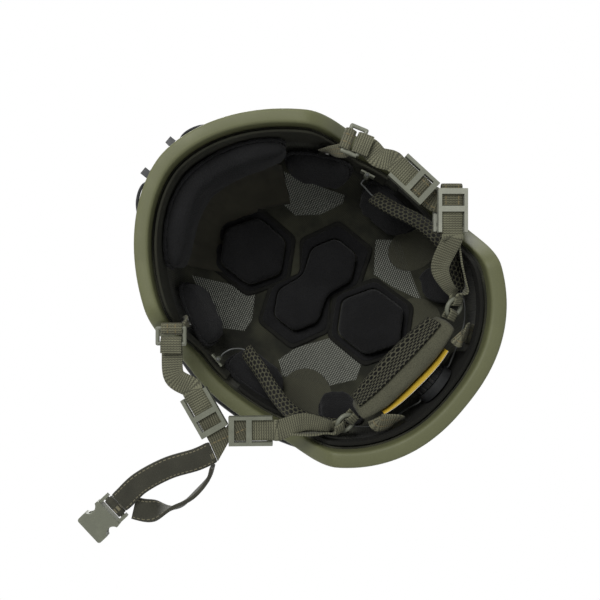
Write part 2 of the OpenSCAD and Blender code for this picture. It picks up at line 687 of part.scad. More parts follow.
// A webbing loop that comes along +d, turns inside the ring and goes back along -d
function ring_loop(c, d, w) = let(n = cross(d, w), rod = c - d * ring_r) [
  web_narrow(rod + n * loop_r, w, loop_w),
  web_narrow(rod + n * loop_r * 0.8 + d * (loop_in + loop_r * 0.6), w, loop_w),
  web_narrow(rod + d * (loop_in + loop_r), w, loop_w),
  web_narrow(rod - n * loop_r * 0.8 + d * (loop_in + loop_r * 0.6), w, loop_w),
  web_narrow(rod - n * loop_r, w, loop_w)
];
module ring_tab(c, d, w) {
  n = cross(d, w);
  end = c + d * (ring_gap - 1.3);
  strap(concat(
    [web_narrow(end + n * loop_r, -w, loop_w)],
    ring_loop(c, -d, -w),
    [web_narrow(end - n * loop_r, -w, loop_w)]
  ), 2);
}
module ring_tabs() color(web_green) {
  ring_tab(ring_right, ring_right_d, square_w(ring_right_d, ring_right_w));
  ring_tab(ring_left, ring_left_d, square_w(ring_left_d, ring_left_w));
}

// Webbing tabs that tie the pad's back to the two rear bolts
module nape_tab(b, i) {
  foot = nape_point(i, -28, 1.7);
  seam = unit(nape_point(i - 1, -28, 1) - nape_point(i + 1, -28, 1));
  across = level(wall(b[0] + 2, 30, 0) - wall(b[0] - 2, 30, 0));
  difference() {
    strap([
      web(wall(b[0], b[1] + 9, tab_inset), across), web(wall(b[0], b[1] + 1, tab_inset), across),
      web(wall(b[0], b[1] - 7.5, tab_inset + 0.2), across),
      web(wall(b[0], b[1] - 13, tab_inset + 4.8), across),
      web(wall(b[0], b[1] - 19, tab_inset + 7), across),
      web_narrow(foot + nape_normal(i) * 4 + up * 0.3, seam, 12), web_narrow(foot, seam, 11)
    ], 3);
    drill(b, bolt_r + 0.2);
  }
}
module nape_tabs() color(web_green * 1.1) {
  nape_tab(bolt_places[2], 15);
  nape_tab(bolt_places[3], 2);
}
card_t = 0.6;
card_gap = 0.45;
card_h = 24;
card_z = 31.5;
function pad_back(i) =
  nape_pts[i] + nape_normal(i) * (nape_pad_t / 2 * nape_fats[i] + card_gap + card_t / 2);
module fit_card() color([0.85, 0.75, 0.25])
  strap([for (i = [3:2:13]) let(n = nape_normal(i), z = card_z - nape_pts[i][2])
    [pad_back(i) + [0, 0, z] - n * nape_lean * z, [0, 0, 1] - n * nape_lean, card_h, card_t]], 1);

// Keepers, locks and straps. A place is [centre, direction towards the junction]

web_z = 3.6;
keeper_z = 4.8;
keeper_gap = 11;
keeper_in = web_w / 2 + 0.6 + keeper_rod_r;
keeper_right_at = [[-half_w + 22.5, -54, keeper_z], unit([-0.78, 0.63, 0])];
keeper_left_at = [[half_w - 20.5, -40, keeper_z], unit([0.29, 0.96, 0])];
front_lock_right_at = [[-half_w - 4.9, -1.2, web_z], unit([-0.362, 0.932, 0])];
rear_lock_right_at = [[-half_w + 5.8, 32.5, web_z], unit([-0.637, -0.771, 0])];
front_lock_left_at = [[half_w - 15.8, 10.2, web_z], unit([-0.065, 0.997, 0])];
rear_lock_left_at = [[half_w - 15.5, 45.5, web_z], unit([0.78, -0.63, 0])];

module keeper(k) place(k[0], yaw_of(k[1])) {
  for (s = [-1, 1]) {
    translate([s * keeper_gap / 2, -keeper_in, 0]) rotate([-90, 0, 0])
      cylinder(r = keeper_rod_r, h = 2 * keeper_in);
    translate([-keeper_gap / 2, s * keeper_in, 0]) rotate([0, 90, 0])
      cylinder(r = keeper_rod_r, h = keeper_gap);
    for (q = [-1, 1]) translate([s * keeper_gap / 2, q * keeper_in, 0]) sphere(r = keeper_rod_r);
  }
}
module keeper_right() color(lock_grey) keeper(keeper_right_at);
module keeper_left() color(lock_grey) keeper(keeper_left_at);

// The anchor loop hangs from a front bolt and wraps the keeper's inner rod
wrap_r = keeper_rod_r + web_t / 2 + 0.4;
module anchor_loop(k, b) {
  across = side_of(k[1]);
  rod = k[0] - k[1] * keeper_gap / 2;
  inwards = -unit(level(rod));
  bar = rod + across * sign(across * inwards) * 1.2;
  wall_across = unit(level(wall(b[0] + 2, 30, 0) - wall(b[0] - 2, 30, 0))) * (b[0] > 180 ? -1 : 1);
  difference() {
    strap(concat(
      [for (z = [7, 0, -8]) web(wall(b[0], b[1] + z, anchor_inset + max(0, -z) * 0.08), wall_across)],
      [web(wall(b[0], b[1] - 18, anchor_inset + 3.5), wall_across),
       web(bar - k[1] + inwards * 6 + up * 14, wall_across + across * 0.4),
       web_narrow(bar + k[1] * 1.5 + inwards * 2.5 + up * 7, wall_across * 0.3 + across, 13),
       web_narrow(bar + k[1] * wrap_r + up * 1.5, across, 12)],
      [for (c = turn_round(bar, k[1], up, wrap_r, across, 360, 135)) [c[0], c[1], 12, web_t]]
    ), 2);
    drill(b, bolt_r + 0.2);
  }
}
module anchor_loop_right() color(web_green) anchor_loop(keeper_right_at, bolt_places[1]);
module anchor_loop_left() color(web_green) anchor_loop(keeper_left_at, bolt_places[0]);

lock_in = web_w / 2 + 0.4;
lock_bar = 4;
bar_h = lock_h / 2 - web_t / 2 - 0.3;
module ladder_lock(k) place(k[0] - [0, 0, lock_h / 2], yaw_of(k[1])) {
  for (s = [-1, 1]) translate([-lock_len / 2, s > 0 ? lock_in : -lock_in - lock_rail, 0])
    cube([lock_len, lock_rail, lock_h]);
  for (x = [-1, lock_len / 2 - lock_bar]) translate([x, -lock_in - 0.1, 0])
    cube([lock_bar, 2 * lock_in + 0.2, bar_h]);
  translate([-lock_len / 2, -lock_in - 0.1, lock_h - bar_h])
    cube([lock_bar, 2 * lock_in + 0.2, bar_h]);
}
module front_lock_right() color(lock_grey) ladder_lock(front_lock_right_at);
module rear_lock_right() color(lock_grey) ladder_lock(rear_lock_right_at);
module front_lock_left() color(lock_grey) ladder_lock(front_lock_left_at);
module rear_lock_left() color(lock_grey) ladder_lock(rear_lock_left_at);

function along(k, x) = k[0] + k[1] * x;
function across_of(k) = side_of(k[1]);

// The last stretch inside a lock, from under its middle bar to just past its end
function lock_end(k) = [for (x = [0.4, -8, -lock_len / 2 - 1, -lock_len / 2 - 5])
  web(along(k, x) + up * max(0, -x - lock_len / 2 - 1) * 0.12, across_of(k))];

// A front strap comes from its lock and wraps the keeper's outer rod
module front_strap(k, lock, mid) {
  bar = k[0] + k[1] * keeper_gap / 2;
  a = across_of(k);
  strap(concat(
    lock_end(lock),
    [web(mid, (a + across_of(lock)) / 2), web(bar + k[1] * 7 + up * (wrap_r - 0.4), a)],
    turn_round(bar, k[1], up, wrap_r, a, 90, 270),
    [web(bar + k[1] * 7 - up * (wrap_r + 0.2), a)]
  ), 2);
}
module front_strap_right() color(web_green)
  front_strap(keeper_right_at, front_lock_right_at, [-half_w + 1, -34, 4.6]);
module front_strap_left() color(web_green)
  front_strap(keeper_left_at, front_lock_left_at, [half_w - 18.5, -19, 4.2]);

// The strap turns round the ring, at an angle from its middle, between its way in and its way out
function turned(list, w) = let(s = list[0][1] * w < 0 ? -1 : 1)
  [for (c = list) [c[0], c[1] * s, c[2], c[3]]];
module rear_strap(k, c, d0, w0, turn, way_in, way_out) {
  w1 = square_w(d0, w0);
  d = d0 * cos(turn) + w1 * sin(turn);
  w = w1 * cos(turn) - d0 * sin(turn);
  n = cross(d, w);
  strap(concat(
    turned(concat(lock_end(k), way_in), w),
    [web_narrow(c - d * (ring_r + 3) + n * (loop_r + 0.3), w, loop_w)],
    ring_loop(c, d, w),
    [web_narrow(c - d * (ring_r + 3) - n * (loop_r + 0.3), w, loop_w)],
    turned(way_out, w)
  ), 3);
}
module rear_strap_right() color(web_green * 1.1) {
  side = across_of(rear_lock_right_at);
  rear_strap(rear_lock_right_at, ring_right, ring_right_d, ring_right_w, 25, [
    web_narrow([-83.5, half_l - 80, 11.5], side, 13), web_narrow([-76, half_l - 65.5, 18], side, 9.5)
  ], [
    web_narrow([-77.5, half_l - 58, 16], [0.4, 0.3, -0.8], 10),
    web_narrow([-80.5, half_l - 62.5, 14], [0.3, 0, -1], 12),
    web([-85, half_l - 68.5, 12.8], [0, 0, -1]), web([-91, half_l - 76, 13], [0, 0, -1]),
    web([-98, half_l - 86, 14], [0, 0, -1])
  ]);
}
module rear_strap_left() color(web_green * 1.1) {
  side = across_of(rear_lock_left_at);
  rear_strap(rear_lock_left_at, ring_left, ring_left_d, ring_left_w, -20, [
    web_narrow([66, half_l - 74, 11], side, 13.5), web_narrow([59.5, half_l - 61, 17.5], side, 9.5)
  ], [
    web_narrow([65.5, half_l - 47, 18.5], [-0.5, 0.3, -0.8], 11),
    web_narrow([72, half_l - 54, 17.5], [-0.3, 0, -1], 13.5),
    web([78, half_l - 62, 16], [-0.3, 0, -1]), web([86, half_l - 71, 15], [-0.3, 0, -1]),
    web([91, half_l - 77, 15], [-0.3, 0, -1])
  ]);
}

// The junction on the right is flat sewn webbing that ends at the chin cup's fold

fold_at = [-half_w - 24.5, 20.5, web_z];
fold_out = unit([-0.89, -0.455, 0]);
fold_across = side_of(fold_out);
module junction_right() color(web_green * 0.95)
translate([0, 0, web_z - web_t / 2]) linear_extrude(web_t) {
  f = front_lock_right_at;
  r = rear_lock_right_at;
  end = fold_at - fold_out * (chin_t / 2 + 0.5);
  fs = across_of(f) * web_w / 2;
  rs = across_of(r) * web_w / 2;
  es = fold_across * web_w / 2;
  half = lock_len / 2;
  polygon([for (v = [
    along(f, 1) + fs, along(f, 1) - fs, along(f, half + 1.5) - fs, along(r, half - 1.5) + rs,
    along(r, 1) + rs, along(r, 1) - rs, along(r, half) - rs, end - es, end + es,
    along(f, half + 0.4) + fs
  ]) [v[0], v[1]]]);
}

// The female half of the buckle: its own x runs from the bar to the mouth

socket_bar = [-half_w - 97, -8.5, 4.3];
socket_way = unit([-0.990, -0.139, 0]);
socket_across = side_of(socket_way);
bar_r = 1.6;
module at_socket() place(socket_bar, yaw_of(socket_way)) children();
module rounded_slab(l, w, h, r) linear_extrude(h) {
  translate([r, -w / 2]) square([l - 2 * r, w]);
  translate([0, r - w / 2]) square([l, w - 2 * r]);
  for (x = [r, l - r]) for (s = [-1, 1]) translate([x, s * (w / 2 - r)]) circle(r);
}
module female_buckle() color(lock_grey) at_socket() difference() {
  union() {
    translate([4.6, 0, -socket_h / 2]) rounded_slab(socket_len - 4.6, socket_w, socket_h, 2);
    for (s = [-1, 1]) translate([-2.4, s * (band_w / 2 + 1.7) - 1.2, -2.2])
      cube([8.5, 2.4, 4.4]);
    translate([0, -band_w / 2 - 1.7, 0]) rotate([-90, 0, 0]) cylinder(r = bar_r, h = band_w + 3.4);
  }
  translate([8, -socket_w / 2 + 2, -socket_h / 2 + 1.4]) cube([socket_len, socket_w - 4, socket_h - 2.8]);
  for (s = [-1, 1]) translate([12.5, s * (socket_w / 2 + 1.6), -socket_h])
    cylinder(r = 5, h = 2 * socket_h);
}

// The chin cup's two bands start at the fold and end round the socket's bar
function chin(p, a) = [p, a, band_w, chin_t];
roll_w = band_w - 0.8;
module chin_band_front() color(dark_olive * 1.1) difference() {
  union() {
    translate(fold_at - fold_across * roll_w / 2) rotate([0, 0, yaw_of(fold_out)]) rotate([-90, 0, 0])
      cylinder(r = chin_t / 2 + 0.2, h = roll_w);
    strap([
      chin(fold_at, fold_across), chin(fold_at + fold_out * 12 - [0, 0, 0.4], fold_across),
      chin([-half_w - 52, 3.5, 2.8], unit(fold_across + side_of(unit([-1, -0.4, 0])))),
      chin([-half_w - 72, -5, 2.6], side_of(unit([-1, -0.3, 0]))),
      chin(socket_bar - socket_way * 9 - [0, 0, 1.2], socket_across),
      chin(socket_bar - socket_way * 1.2, socket_across)
    ], 4);
    at_socket() translate([0, -roll_w / 2, 0]) rotate([-90, 0, 0]) cylinder(r = bar_r + 1.6, h = roll_w);
  }
  at_socket() translate([0, -band_w, 0]) rotate([-90, 0, 0]) cylinder(r = bar_r + run_fit, h = 2 * band_w);
}
module chin_band_rear() color(dark_olive) {
  start = fold_at + fold_out * 4 + [0, 0, 1.2] - fold_across * (band_w / 2 + chin_t / 2 + 0.5);
  strap([
    chin([start[0], start[1], 0.6 + band_w / 2], [0, 0, 1]),
    chin([-half_w - 42, 31, 0.6 + band_w / 2], [0, 0, 1]),
    chin([-half_w - 58, 30, 1 + band_w / 2], [0, 0, 1]),
    chin([-half_w - 73, 25, 9.2], unit([0.35, 0.5, 0.9])),
    chin([-half_w - 85, 13, 7.6], unit([0.8, 0.3, 0.25])),
    chin([-half_w - 90.5, 2.5, 6.6], unit([0.98, 0.1, 0]))
  ], 5);
}

// The male half: its own x runs from the bar to the prongs' tips

plug_bar = [half_w - 26, 51.5, 12.6];
plug_way = unit([0.78, -0.63, 0]);
plug_across = side_of(plug_way);
plug_w = 20;
plug_root = 14;
plug_low = -1.1;
plug_h = 4.2;
prong_len = 17;
prong_y = plug_w / 2 - 2.6;
prong_pin = 1.7;
module at_plug() place(plug_bar, yaw_of(plug_way)) children();
module male_buckle() color(lock_grey * 1.15) at_plug() difference() {
  union() {
    translate([4.4, 0, plug_low]) rounded_slab(plug_root - 4.4, plug_w, plug_h, 1.5);
    translate([plug_root - 2, -2, plug_low + 0.8]) cube([prong_len + 1, 4, 2.6]);
    for (s = [-1, 1]) translate([-2.2, s * (web_w / 2 + 1.5) - 1, -1.6]) cube([8, 2, 3.4]);
    translate([0, -web_w / 2 - 1.5, 0]) rotate([-90, 0, 0]) cylinder(r = bar_r, h = web_w + 3);
  }
  for (s = [-1, 1]) translate([plug_root, s * prong_y, -10]) cylinder(r = prong_pin + run_fit, h = 20);
}
module prong(s) at_plug() translate([plug_root, s * prong_y, plug_low + 0.3]) {
  cylinder(r = prong_pin, h = plug_h - 0.6);
  translate([0, -1.3, 0]) cube([prong_len - 3, 2.6, plug_h - 0.6]);
  translate([prong_len - 3.5, s * 0.3, 0]) cylinder(r = 2.6, h = plug_h - 0.6);
}
module prong_front() color(lock_grey * 1.15) prong(-1);
module prong_rear() color(lock_grey * 1.15) prong(1);

// On the left the webbing of both locks folds over the rear lock and holds the plug's bar
function raised(k, x, z) = [along(k, x)[0], along(k, x)[1], z];
module junction_left() color(web_green) {
  f = front_lock_left_at;
  r = rear_lock_left_at;
  a = across_of(r);
  over = web_z + lock_h / 2 + web_t / 2 + 0.4;
  far = lock_len / 2 + 1.6;
  round = bar_r + web_t / 2 + 0.4;
  strap(concat(
    [web(along(r, 1), a), web(along(r, lock_len / 4), a), web(along(r, far - 1), a)],
    turn_round(raised(r, far, (over + web_z) / 2), r[1], up, (over - web_z) / 2, a, -90, 90),
    [web(raised(r, far - 6, over), a), web(raised(r, 2, over), a)],
    [web(plug_bar + plug_way * 6 - up * (round + 0.4), plug_across)],
    turn_round(plug_bar, plug_way, up, round, plug_across, 270, 90)
  ), 2);
  top = over + web_t + 0.3;
  strap([
    web(along(f, 1), across_of(f)), web(along(f, lock_len / 4), across_of(f)),
    web(along(f, lock_len / 2 - 3) + up * 1.4, across_of(f)),
    web(raised(f, lock_len / 2 + 0.5, top - 1), across_of(f)),
    web(raised(f, lock_len / 2 + 7, top) + [1, 0, 0], unit([-0.9, 0.3, 0])),
    web(raised(r, 6, top), unit([-0.85, -0.5, 0]))
  ], 3);
}

shell();
edge_trim();
shroud();
shroud_screws();
bungee();
rail_left();
rail_right();
rail_screws();
harness_bolts();
liner();
headband();
cradle();
brow_pad();
temple_pad_left();
temple_pad_right();
side_pad_left();
side_pad_right();
rear_pad_left();
rear_pad_right();
crown_pad_front();
crown_pad_middle();
crown_pad_rear();
dial_housing();
dial_spindle();
dial_spool();
dial_knob();
lace();
lace_guide_left();
lace_guide_right();
nape_pad();
nape_mesh();
nape_ring_left();
nape_ring_right();
ring_tabs();
nape_tabs();
fit_card();
anchor_loop_left();
anchor_loop_right();
keeper_left();
keeper_right();
front_strap_left();
front_strap_right();
rear_strap_left();
rear_strap_right();
front_lock_left();
front_lock_right();
rear_lock_left();
rear_lock_right();
junction_left();
junction_right();
chin_band_front();
chin_band_rear();
female_buckle();
male_buckle();
prong_front();
prong_rear();
sleeve_left();
sleeve_right();
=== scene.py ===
# %% [markdown]
# # A high-cut combat helmet, seen straight into its opening
# The helmet stands on its edge, so the camera looks up into it from under the floor. The hard parts
# come from the CAD frame and get finishes here. The soft parts are made again: webbing and bands as
# strips laid along curves, cushions by a cloth simulation under pressure.

# %% The frame and what every cell needs
import math

import bmesh
import bpy
from mathutils import Matrix, Vector


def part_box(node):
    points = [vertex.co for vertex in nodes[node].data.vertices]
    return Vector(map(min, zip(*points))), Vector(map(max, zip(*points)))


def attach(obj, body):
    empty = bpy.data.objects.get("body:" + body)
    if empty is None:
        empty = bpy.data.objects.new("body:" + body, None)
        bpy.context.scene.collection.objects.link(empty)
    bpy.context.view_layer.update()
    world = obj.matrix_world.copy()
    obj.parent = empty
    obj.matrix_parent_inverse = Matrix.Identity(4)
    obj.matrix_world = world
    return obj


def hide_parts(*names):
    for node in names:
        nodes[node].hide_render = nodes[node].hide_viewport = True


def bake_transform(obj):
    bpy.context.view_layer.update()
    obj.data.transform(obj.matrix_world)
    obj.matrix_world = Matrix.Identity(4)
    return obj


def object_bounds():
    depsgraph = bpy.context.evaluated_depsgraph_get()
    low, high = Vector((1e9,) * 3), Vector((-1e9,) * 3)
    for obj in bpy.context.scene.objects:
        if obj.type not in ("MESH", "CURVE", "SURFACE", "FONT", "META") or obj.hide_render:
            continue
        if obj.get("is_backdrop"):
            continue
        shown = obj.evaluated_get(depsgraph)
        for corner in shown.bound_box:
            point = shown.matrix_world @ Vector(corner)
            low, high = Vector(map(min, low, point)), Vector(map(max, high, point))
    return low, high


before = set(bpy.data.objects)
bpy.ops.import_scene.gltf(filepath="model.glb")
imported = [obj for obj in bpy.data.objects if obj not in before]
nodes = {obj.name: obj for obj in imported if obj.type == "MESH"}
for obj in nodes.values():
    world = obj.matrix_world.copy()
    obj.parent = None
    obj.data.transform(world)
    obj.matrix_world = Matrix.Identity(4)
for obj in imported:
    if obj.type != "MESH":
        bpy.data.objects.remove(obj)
cad_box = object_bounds()
scene = bpy.context.scene
scene.view_settings.view_transform = "Standard"
MM = 0.001
print("CAD nodes:", len(nodes))

# %% [markdown]
# ## The camera first
# The photograph looks straight into the opening, from half a metre, and the picture is turned. Two
# unit vectors, the picture's right and its up, say how it is turned, so no angles are needed.

# %% The camera
camera_at = Vector((-16.5, 1.3, -500)) * MM
picture_right = Vector((0.629, 0.777, 0)).normalized()
picture_up = Vector((0.777, -0.629, 0)).normalized()
camera_data = bpy.data.cameras.new("camera")
camera_data.lens = 42.55
camera_data.sensor_width = 36
camera_data.clip_start = 0.01
camera = bpy.data.objects.new("camera", camera_data)
scene.collection.objects.link(camera)
axes = Matrix((picture_right, picture_up, picture_right.cross(picture_up))).transposed()
camera.matrix_world = Matrix.Translation(camera_at) @ axes.to_4x4()
scene.camera = camera
print("camera looks along", -camera.matrix_world.col[2].to_3d())

# %% [markdown]
# ## Shader maths that reads as Python
# A Wire stands for the value that comes out of a node. Its operators add Math nodes, so a mask is
# written as a formula. A Workbench makes the nodes of one tree: its node() takes a type, the settings
# that are made first, and the values or wires of the sockets. A Finish is the workbench of a material.

# %% Wires and finishes
class Wire:
    def __init__(self, bench, socket):
        self.bench = bench
        self.socket = socket

    def math(self, operation, *others):
        return self.bench.math(operation, self, *others)

    def __rsub__(self, other):
        return self.bench.math("SUBTRACT", other, self)

    def ramp(self, low, high):
        """0 below low, 1 above high, and smooth between them."""
        return self.bench.node("ShaderNodeMapRange", {"interpolation_type": "SMOOTHSTEP"},
                               {"Value": self, "From Min": low, "From Max": high})


def method_for(operation):
    return lambda wire, *others: wire.math(operation, *others)


for method, operation in {
    "__add__": "ADD", "__radd__": "ADD", "__mul__": "MULTIPLY", "__rmul__": "MULTIPLY",
    "__sub__": "SUBTRACT", "__truediv__": "DIVIDE", "__gt__": "GREATER_THAN", "__lt__": "LESS_THAN",
    "__abs__": "ABSOLUTE", "fract": "FRACT", "sine": "SINE", "root": "SQRT", "greater": "MAXIMUM",
    "lesser": "MINIMUM",
}.items():
    setattr(Wire, method, method_for(operation))


class Workbench:
    def __init__(self, tree):
        self.tree = tree

    def node(self, kind, settings=None, sockets=None, output=0):
        new = self.tree.nodes.new(kind)
        for key, value in (settings or {}).items():
            setattr(new, key, value)
        for key, value in (sockets or {}).items():
            if isinstance(value, Wire):
                self.tree.links.new(value.socket, new.inputs[key])
            else:
                new.inputs[key].default_value = value
        return Wire(self, new.outputs[output])

    def math(self, operation, *values):
        return self.node("ShaderNodeMath", {"operation": operation}, dict(enumerate(values)))

    def place(self):
        return self.node("ShaderNodeTexCoord", output="Object")

    def along(self):
        """Metres along a strip and metres across it, from the strip's own map."""
        return self.parts(self.node("ShaderNodeUVMap", {"uv_map": "cloth"}))[:2]

    def ports(self, kind, sockets=None):
        """Every output of a new node, by name."""
        outputs = self.node(kind, None, sockets).socket.node.outputs
        return {socket.name: Wire(self, socket) for socket in outputs}

    def parts(self, vector):
        return list(self.ports("ShaderNodeSeparateXYZ", {0: vector}).values())

    def noise(self, size, detail=3.0):
        """Noise whose blots are about size metres across."""
        return self.node("ShaderNodeTexNoise", None,
                         {"Vector": self.place(), "Scale": 1 / size, "Detail": detail})

    def mix(self, share, first, second):
        return self.node("ShaderNodeMix", {"data_type": "RGBA"}, {0: share, 6: first, 7: second}, output=2)


class Finish(Workbench):
    def __init__(self, name, **sockets):
        self.material = bpy.data.materials.new(name)
        self.material.use_nodes = True
        super().__init__(self.material.node_tree)
        self.shader = self.tree.nodes["Principled BSDF"]
        for key, value in sockets.items():
            self.shader.inputs[key.replace("_", " ")].default_value = value

    def give(self, socket, wire):
        self.tree.links.new(wire.socket, self.shader.inputs[socket])

    def surface(self, base, height, depth):
        """The colour and the bump. Height runs from 0 to 1, and depth is what 1 stands for, in metres."""
        self.give("Base Color", base)
        self.give("Normal", self.node("ShaderNodeBump", None, {"Height": height, "Distance": depth}))
        return self.material


def tone(red, green, blue):
    """A colour as it looks on screen, 0 to 255, as the linear colour that a shader takes."""
    screen = [c / 255 for c in (red, green, blue)]
    return tuple(c / 12.92 if c < 0.04 else ((c + 0.055) / 1.055) ** 2.4 for c in screen) + (1,)


def shade(colour, share):
    """A colour made darker or paler."""
    return tuple(c * share for c in colour[:3]) + (1,)


# %% [markdown]
# ## Woven finishes
# Webbing is a narrow tape of coarse yarn: columns run along it, and each column is crossed by short
# slanted ribs. It reads the strip's own map, in metres, so the ribs follow every bend at their real size.
# Sewing is a dashed line of paler thread that lies proud of the tape.

# %% Webbing
def sew_on(finish, base, height, rows, thread, half, step, share, proud):
    """Dashed rows of thread on a colour and a height. A row is given by its metres from the middle."""
    along, across = finish.along()
    for row in rows:
        dash = (abs(across - row) < half) * ((along / step).fract() < share)
        base = finish.mix(dash, base, thread)
        height = height + dash * proud
    return base, height


def webbing(name, colour, stitch_rows=(), rib=0.0017, column=0.0021):
    finish = Finish(name, Roughness=0.85, Sheen_Weight=0.12, Sheen_Roughness=0.4)
    along, across = finish.along()
    from_column = abs((across / column).fract() - 0.5)
    yarn = ((along / rib + from_column * 0.6) * (2 * math.pi)).sine() * 0.5 + 0.5
    weave = yarn.ramp(0.05, 0.6) * (1 - from_column.ramp(0.40, 0.5) * 0.5)
    base = finish.mix(finish.noise(0.011).ramp(0.35, 0.7), colour, shade(colour, 1.25))
    base = finish.mix((1 - weave) * 0.75, base, shade(colour, 0.25))
    thread = tone(128, 116, 84)
    base, height = sew_on(finish, base, weave * 0.6, stitch_rows, thread, 0.00042, 0.0036, 0.72, 0.7)
    return finish.surface(base, height, 0.0005)


strap_cloth = webbing("strap_cloth", tone(114, 113, 91))
tab_cloth = webbing("tab_cloth", tone(114, 112, 90), stitch_rows=(0.0028, -0.0028))
junction_cloth = webbing("junction_cloth", tone(98, 96, 76), stitch_rows=(0.0045, -0.0045))
print("webbing finishes made")

# %% [markdown]
# Plain cloth has a fine square weave. The chin cup's bands are sewn near both edges. The bands that
# carry the pads are smoother, so their weave is finer.

# %% Cloth
def woven(name, colour, thread=0.0009, stitch_rows=(), depth=0.00018, fuzz=0.12):
    finish = Finish(name, Roughness=0.9, Sheen_Weight=fuzz, Sheen_Roughness=0.5)
    warp, weft = [abs((way * (math.pi / thread)).sine()) for way in finish.along()]
    weave = warp * 0.5 + weft * 0.5
    base = finish.mix(finish.noise(0.02, 4.0).ramp(0.3, 0.75), colour, shade(colour, 1.35))
    base = finish.mix((1 - weave) * 0.5, base, shade(colour, 0.4))
    stitch = tone(128, 122, 98)
    base, height = sew_on(finish, base, weave, stitch_rows, stitch, 0.00035, 0.0031, 0.65, 2.0)
    return finish.surface(base, height, depth)


chin_cloth = woven("chin_cloth", tone(62, 61, 50), stitch_rows=(0.0062, -0.0062))
band_cloth = woven("band_cloth", tone(50, 50, 38), thread=0.0007, fuzz=0.02)
panel_cloth = woven("panel_cloth", tone(58, 56, 44), thread=0.0008, depth=0.0001, fuzz=0.03)
rear_band_cloth = woven("rear_band_cloth", tone(26, 26, 21), thread=0.0007, fuzz=0.0)
print("cloth finishes made")


# %% [markdown]
# Spacer mesh is knitted, with rows of oval holes, each row shifted by half a step. Two grids, one
# shifted against the other, give the distance to the nearest hole's middle.

# %% Spacer mesh
def spacer_mesh(name, colour, step=0.0046, hole=0.40, tall=1.25):
    finish = Finish(name, Roughness=0.85)
    along, across = finish.along()
    root3 = 1.732

    def hole_distance(shift):
        x = (along / step + shift).fract() - 0.5
        y = ((across / (step * root3 / tall) + shift).fract() - 0.5) * root3
        return (x * x + y * y).root()

    near = hole_distance(0.0).lesser(hole_distance(0.5))
    knit = near.ramp(hole - 0.05, hole + 0.05)
    yarn = finish.noise(0.0006, 2.0)
    # The holes are painted nearly black: painted shade for the depth of the knit behind them, not a colour of
    # the yarn.
    base = finish.mix(knit, (0.004, 0.004, 0.003, 1), finish.mix(yarn, shade(colour, 0.7), colour))
    return finish.surface(base, near.ramp(hole, hole + 0.2) + yarn * 0.15, 0.0012)


sleeve_mesh = spacer_mesh("sleeve_mesh", tone(122, 120, 96))
nape_mesh_cloth = spacer_mesh("nape_mesh_cloth", tone(134, 132, 108), step=0.0052)
print("mesh finishes made")

# %% [markdown]
# The pads have a brushed black face. It is nearly black, a little blue, with a fine looped grain, and
# its fuzz catches light at grazing angles: that is what Sheen is for.

# %% Pad cloth and nape cloth, on object coordinates
def brushed(name, colour, loop=0.0011, pale=1.9):
    finish = Finish(name, Roughness=0.95, Sheen_Weight=0.08, Sheen_Roughness=0.5)
    grain = finish.node("ShaderNodeTexVoronoi", None, {"Vector": finish.place(), "Scale": 1 / loop})
    base = finish.mix(finish.noise(0.025, 4.0).ramp(0.35, 0.7) * 0.6, colour, shade(colour, pale))
    base = finish.mix(grain.ramp(0.25, 0.8) * 0.5, base, shade(colour, 0.45))
    return finish.surface(base, 1 - grain + finish.noise(0.006) * 0.8, 0.00035)


pad_cloth = brushed("pad_cloth", tone(22, 22, 23))
nape_cloth = brushed("nape_cloth", tone(92, 91, 73), loop=0.0008, pale=1.3)
print("pad finishes made")

# %% [markdown]
# The liner is a dark olive cloth with four windows of pale mesh in the gaps between the cushions, and
# three round patches of loop cloth. A window is a many-sided plan: its mask is the greatest distance
# outside any of its sides, so its cut edges stay sharp.

# %% Liner cloth
mesh_windows = [
    # corners in the plan, in millimetres
    [(41, -77), (60, -78), (79, -26), (67, -19), (55, -33), (40, -41)],
    [(68, 20), (79, 36), (67, 56), (50, 84), (45, 58), (44, 39)],
    [(-58, -83), (-35, -36), (-58, -21), (-69, -20), (-78, -36), (-69, -62)],
    [(-70, 20), (-52, 26), (-26, 45), (-27, 80), (-40, 84), (-60, 68), (-78, 31)],
]
loop_patches = [(78, 49, 18), (36, 90, 17), (-80, 58, 24)]


def greatest(wires):
    first, *others = wires
    for wire in others:
        first = first.greater(wire)
    return first


def window_mask(x, y, corners):
    corners = [Vector(c) for c in corners]
    middle = sum(corners, Vector((0, 0))) / len(corners)
    beyond = []
    for here, before in zip(corners, [corners[-1], *corners]):
        side = here - before
        out = Vector((side.y, -side.x)).normalized()
        out *= math.copysign(1, out.dot(here - middle))
        beyond.append(x * out.x + y * out.y - out.dot(here) * MM)
    return 1 - greatest(beyond).ramp(-0.0004, 0.0004)


def disc_mask(x, y, middle_x, middle_y, r):
    dx, dy = x - middle_x * MM, y - middle_y * MM
    return 1 - (dx * dx + dy * dy).ramp((r * MM) ** 2 * 0.97, (r * MM) ** 2)


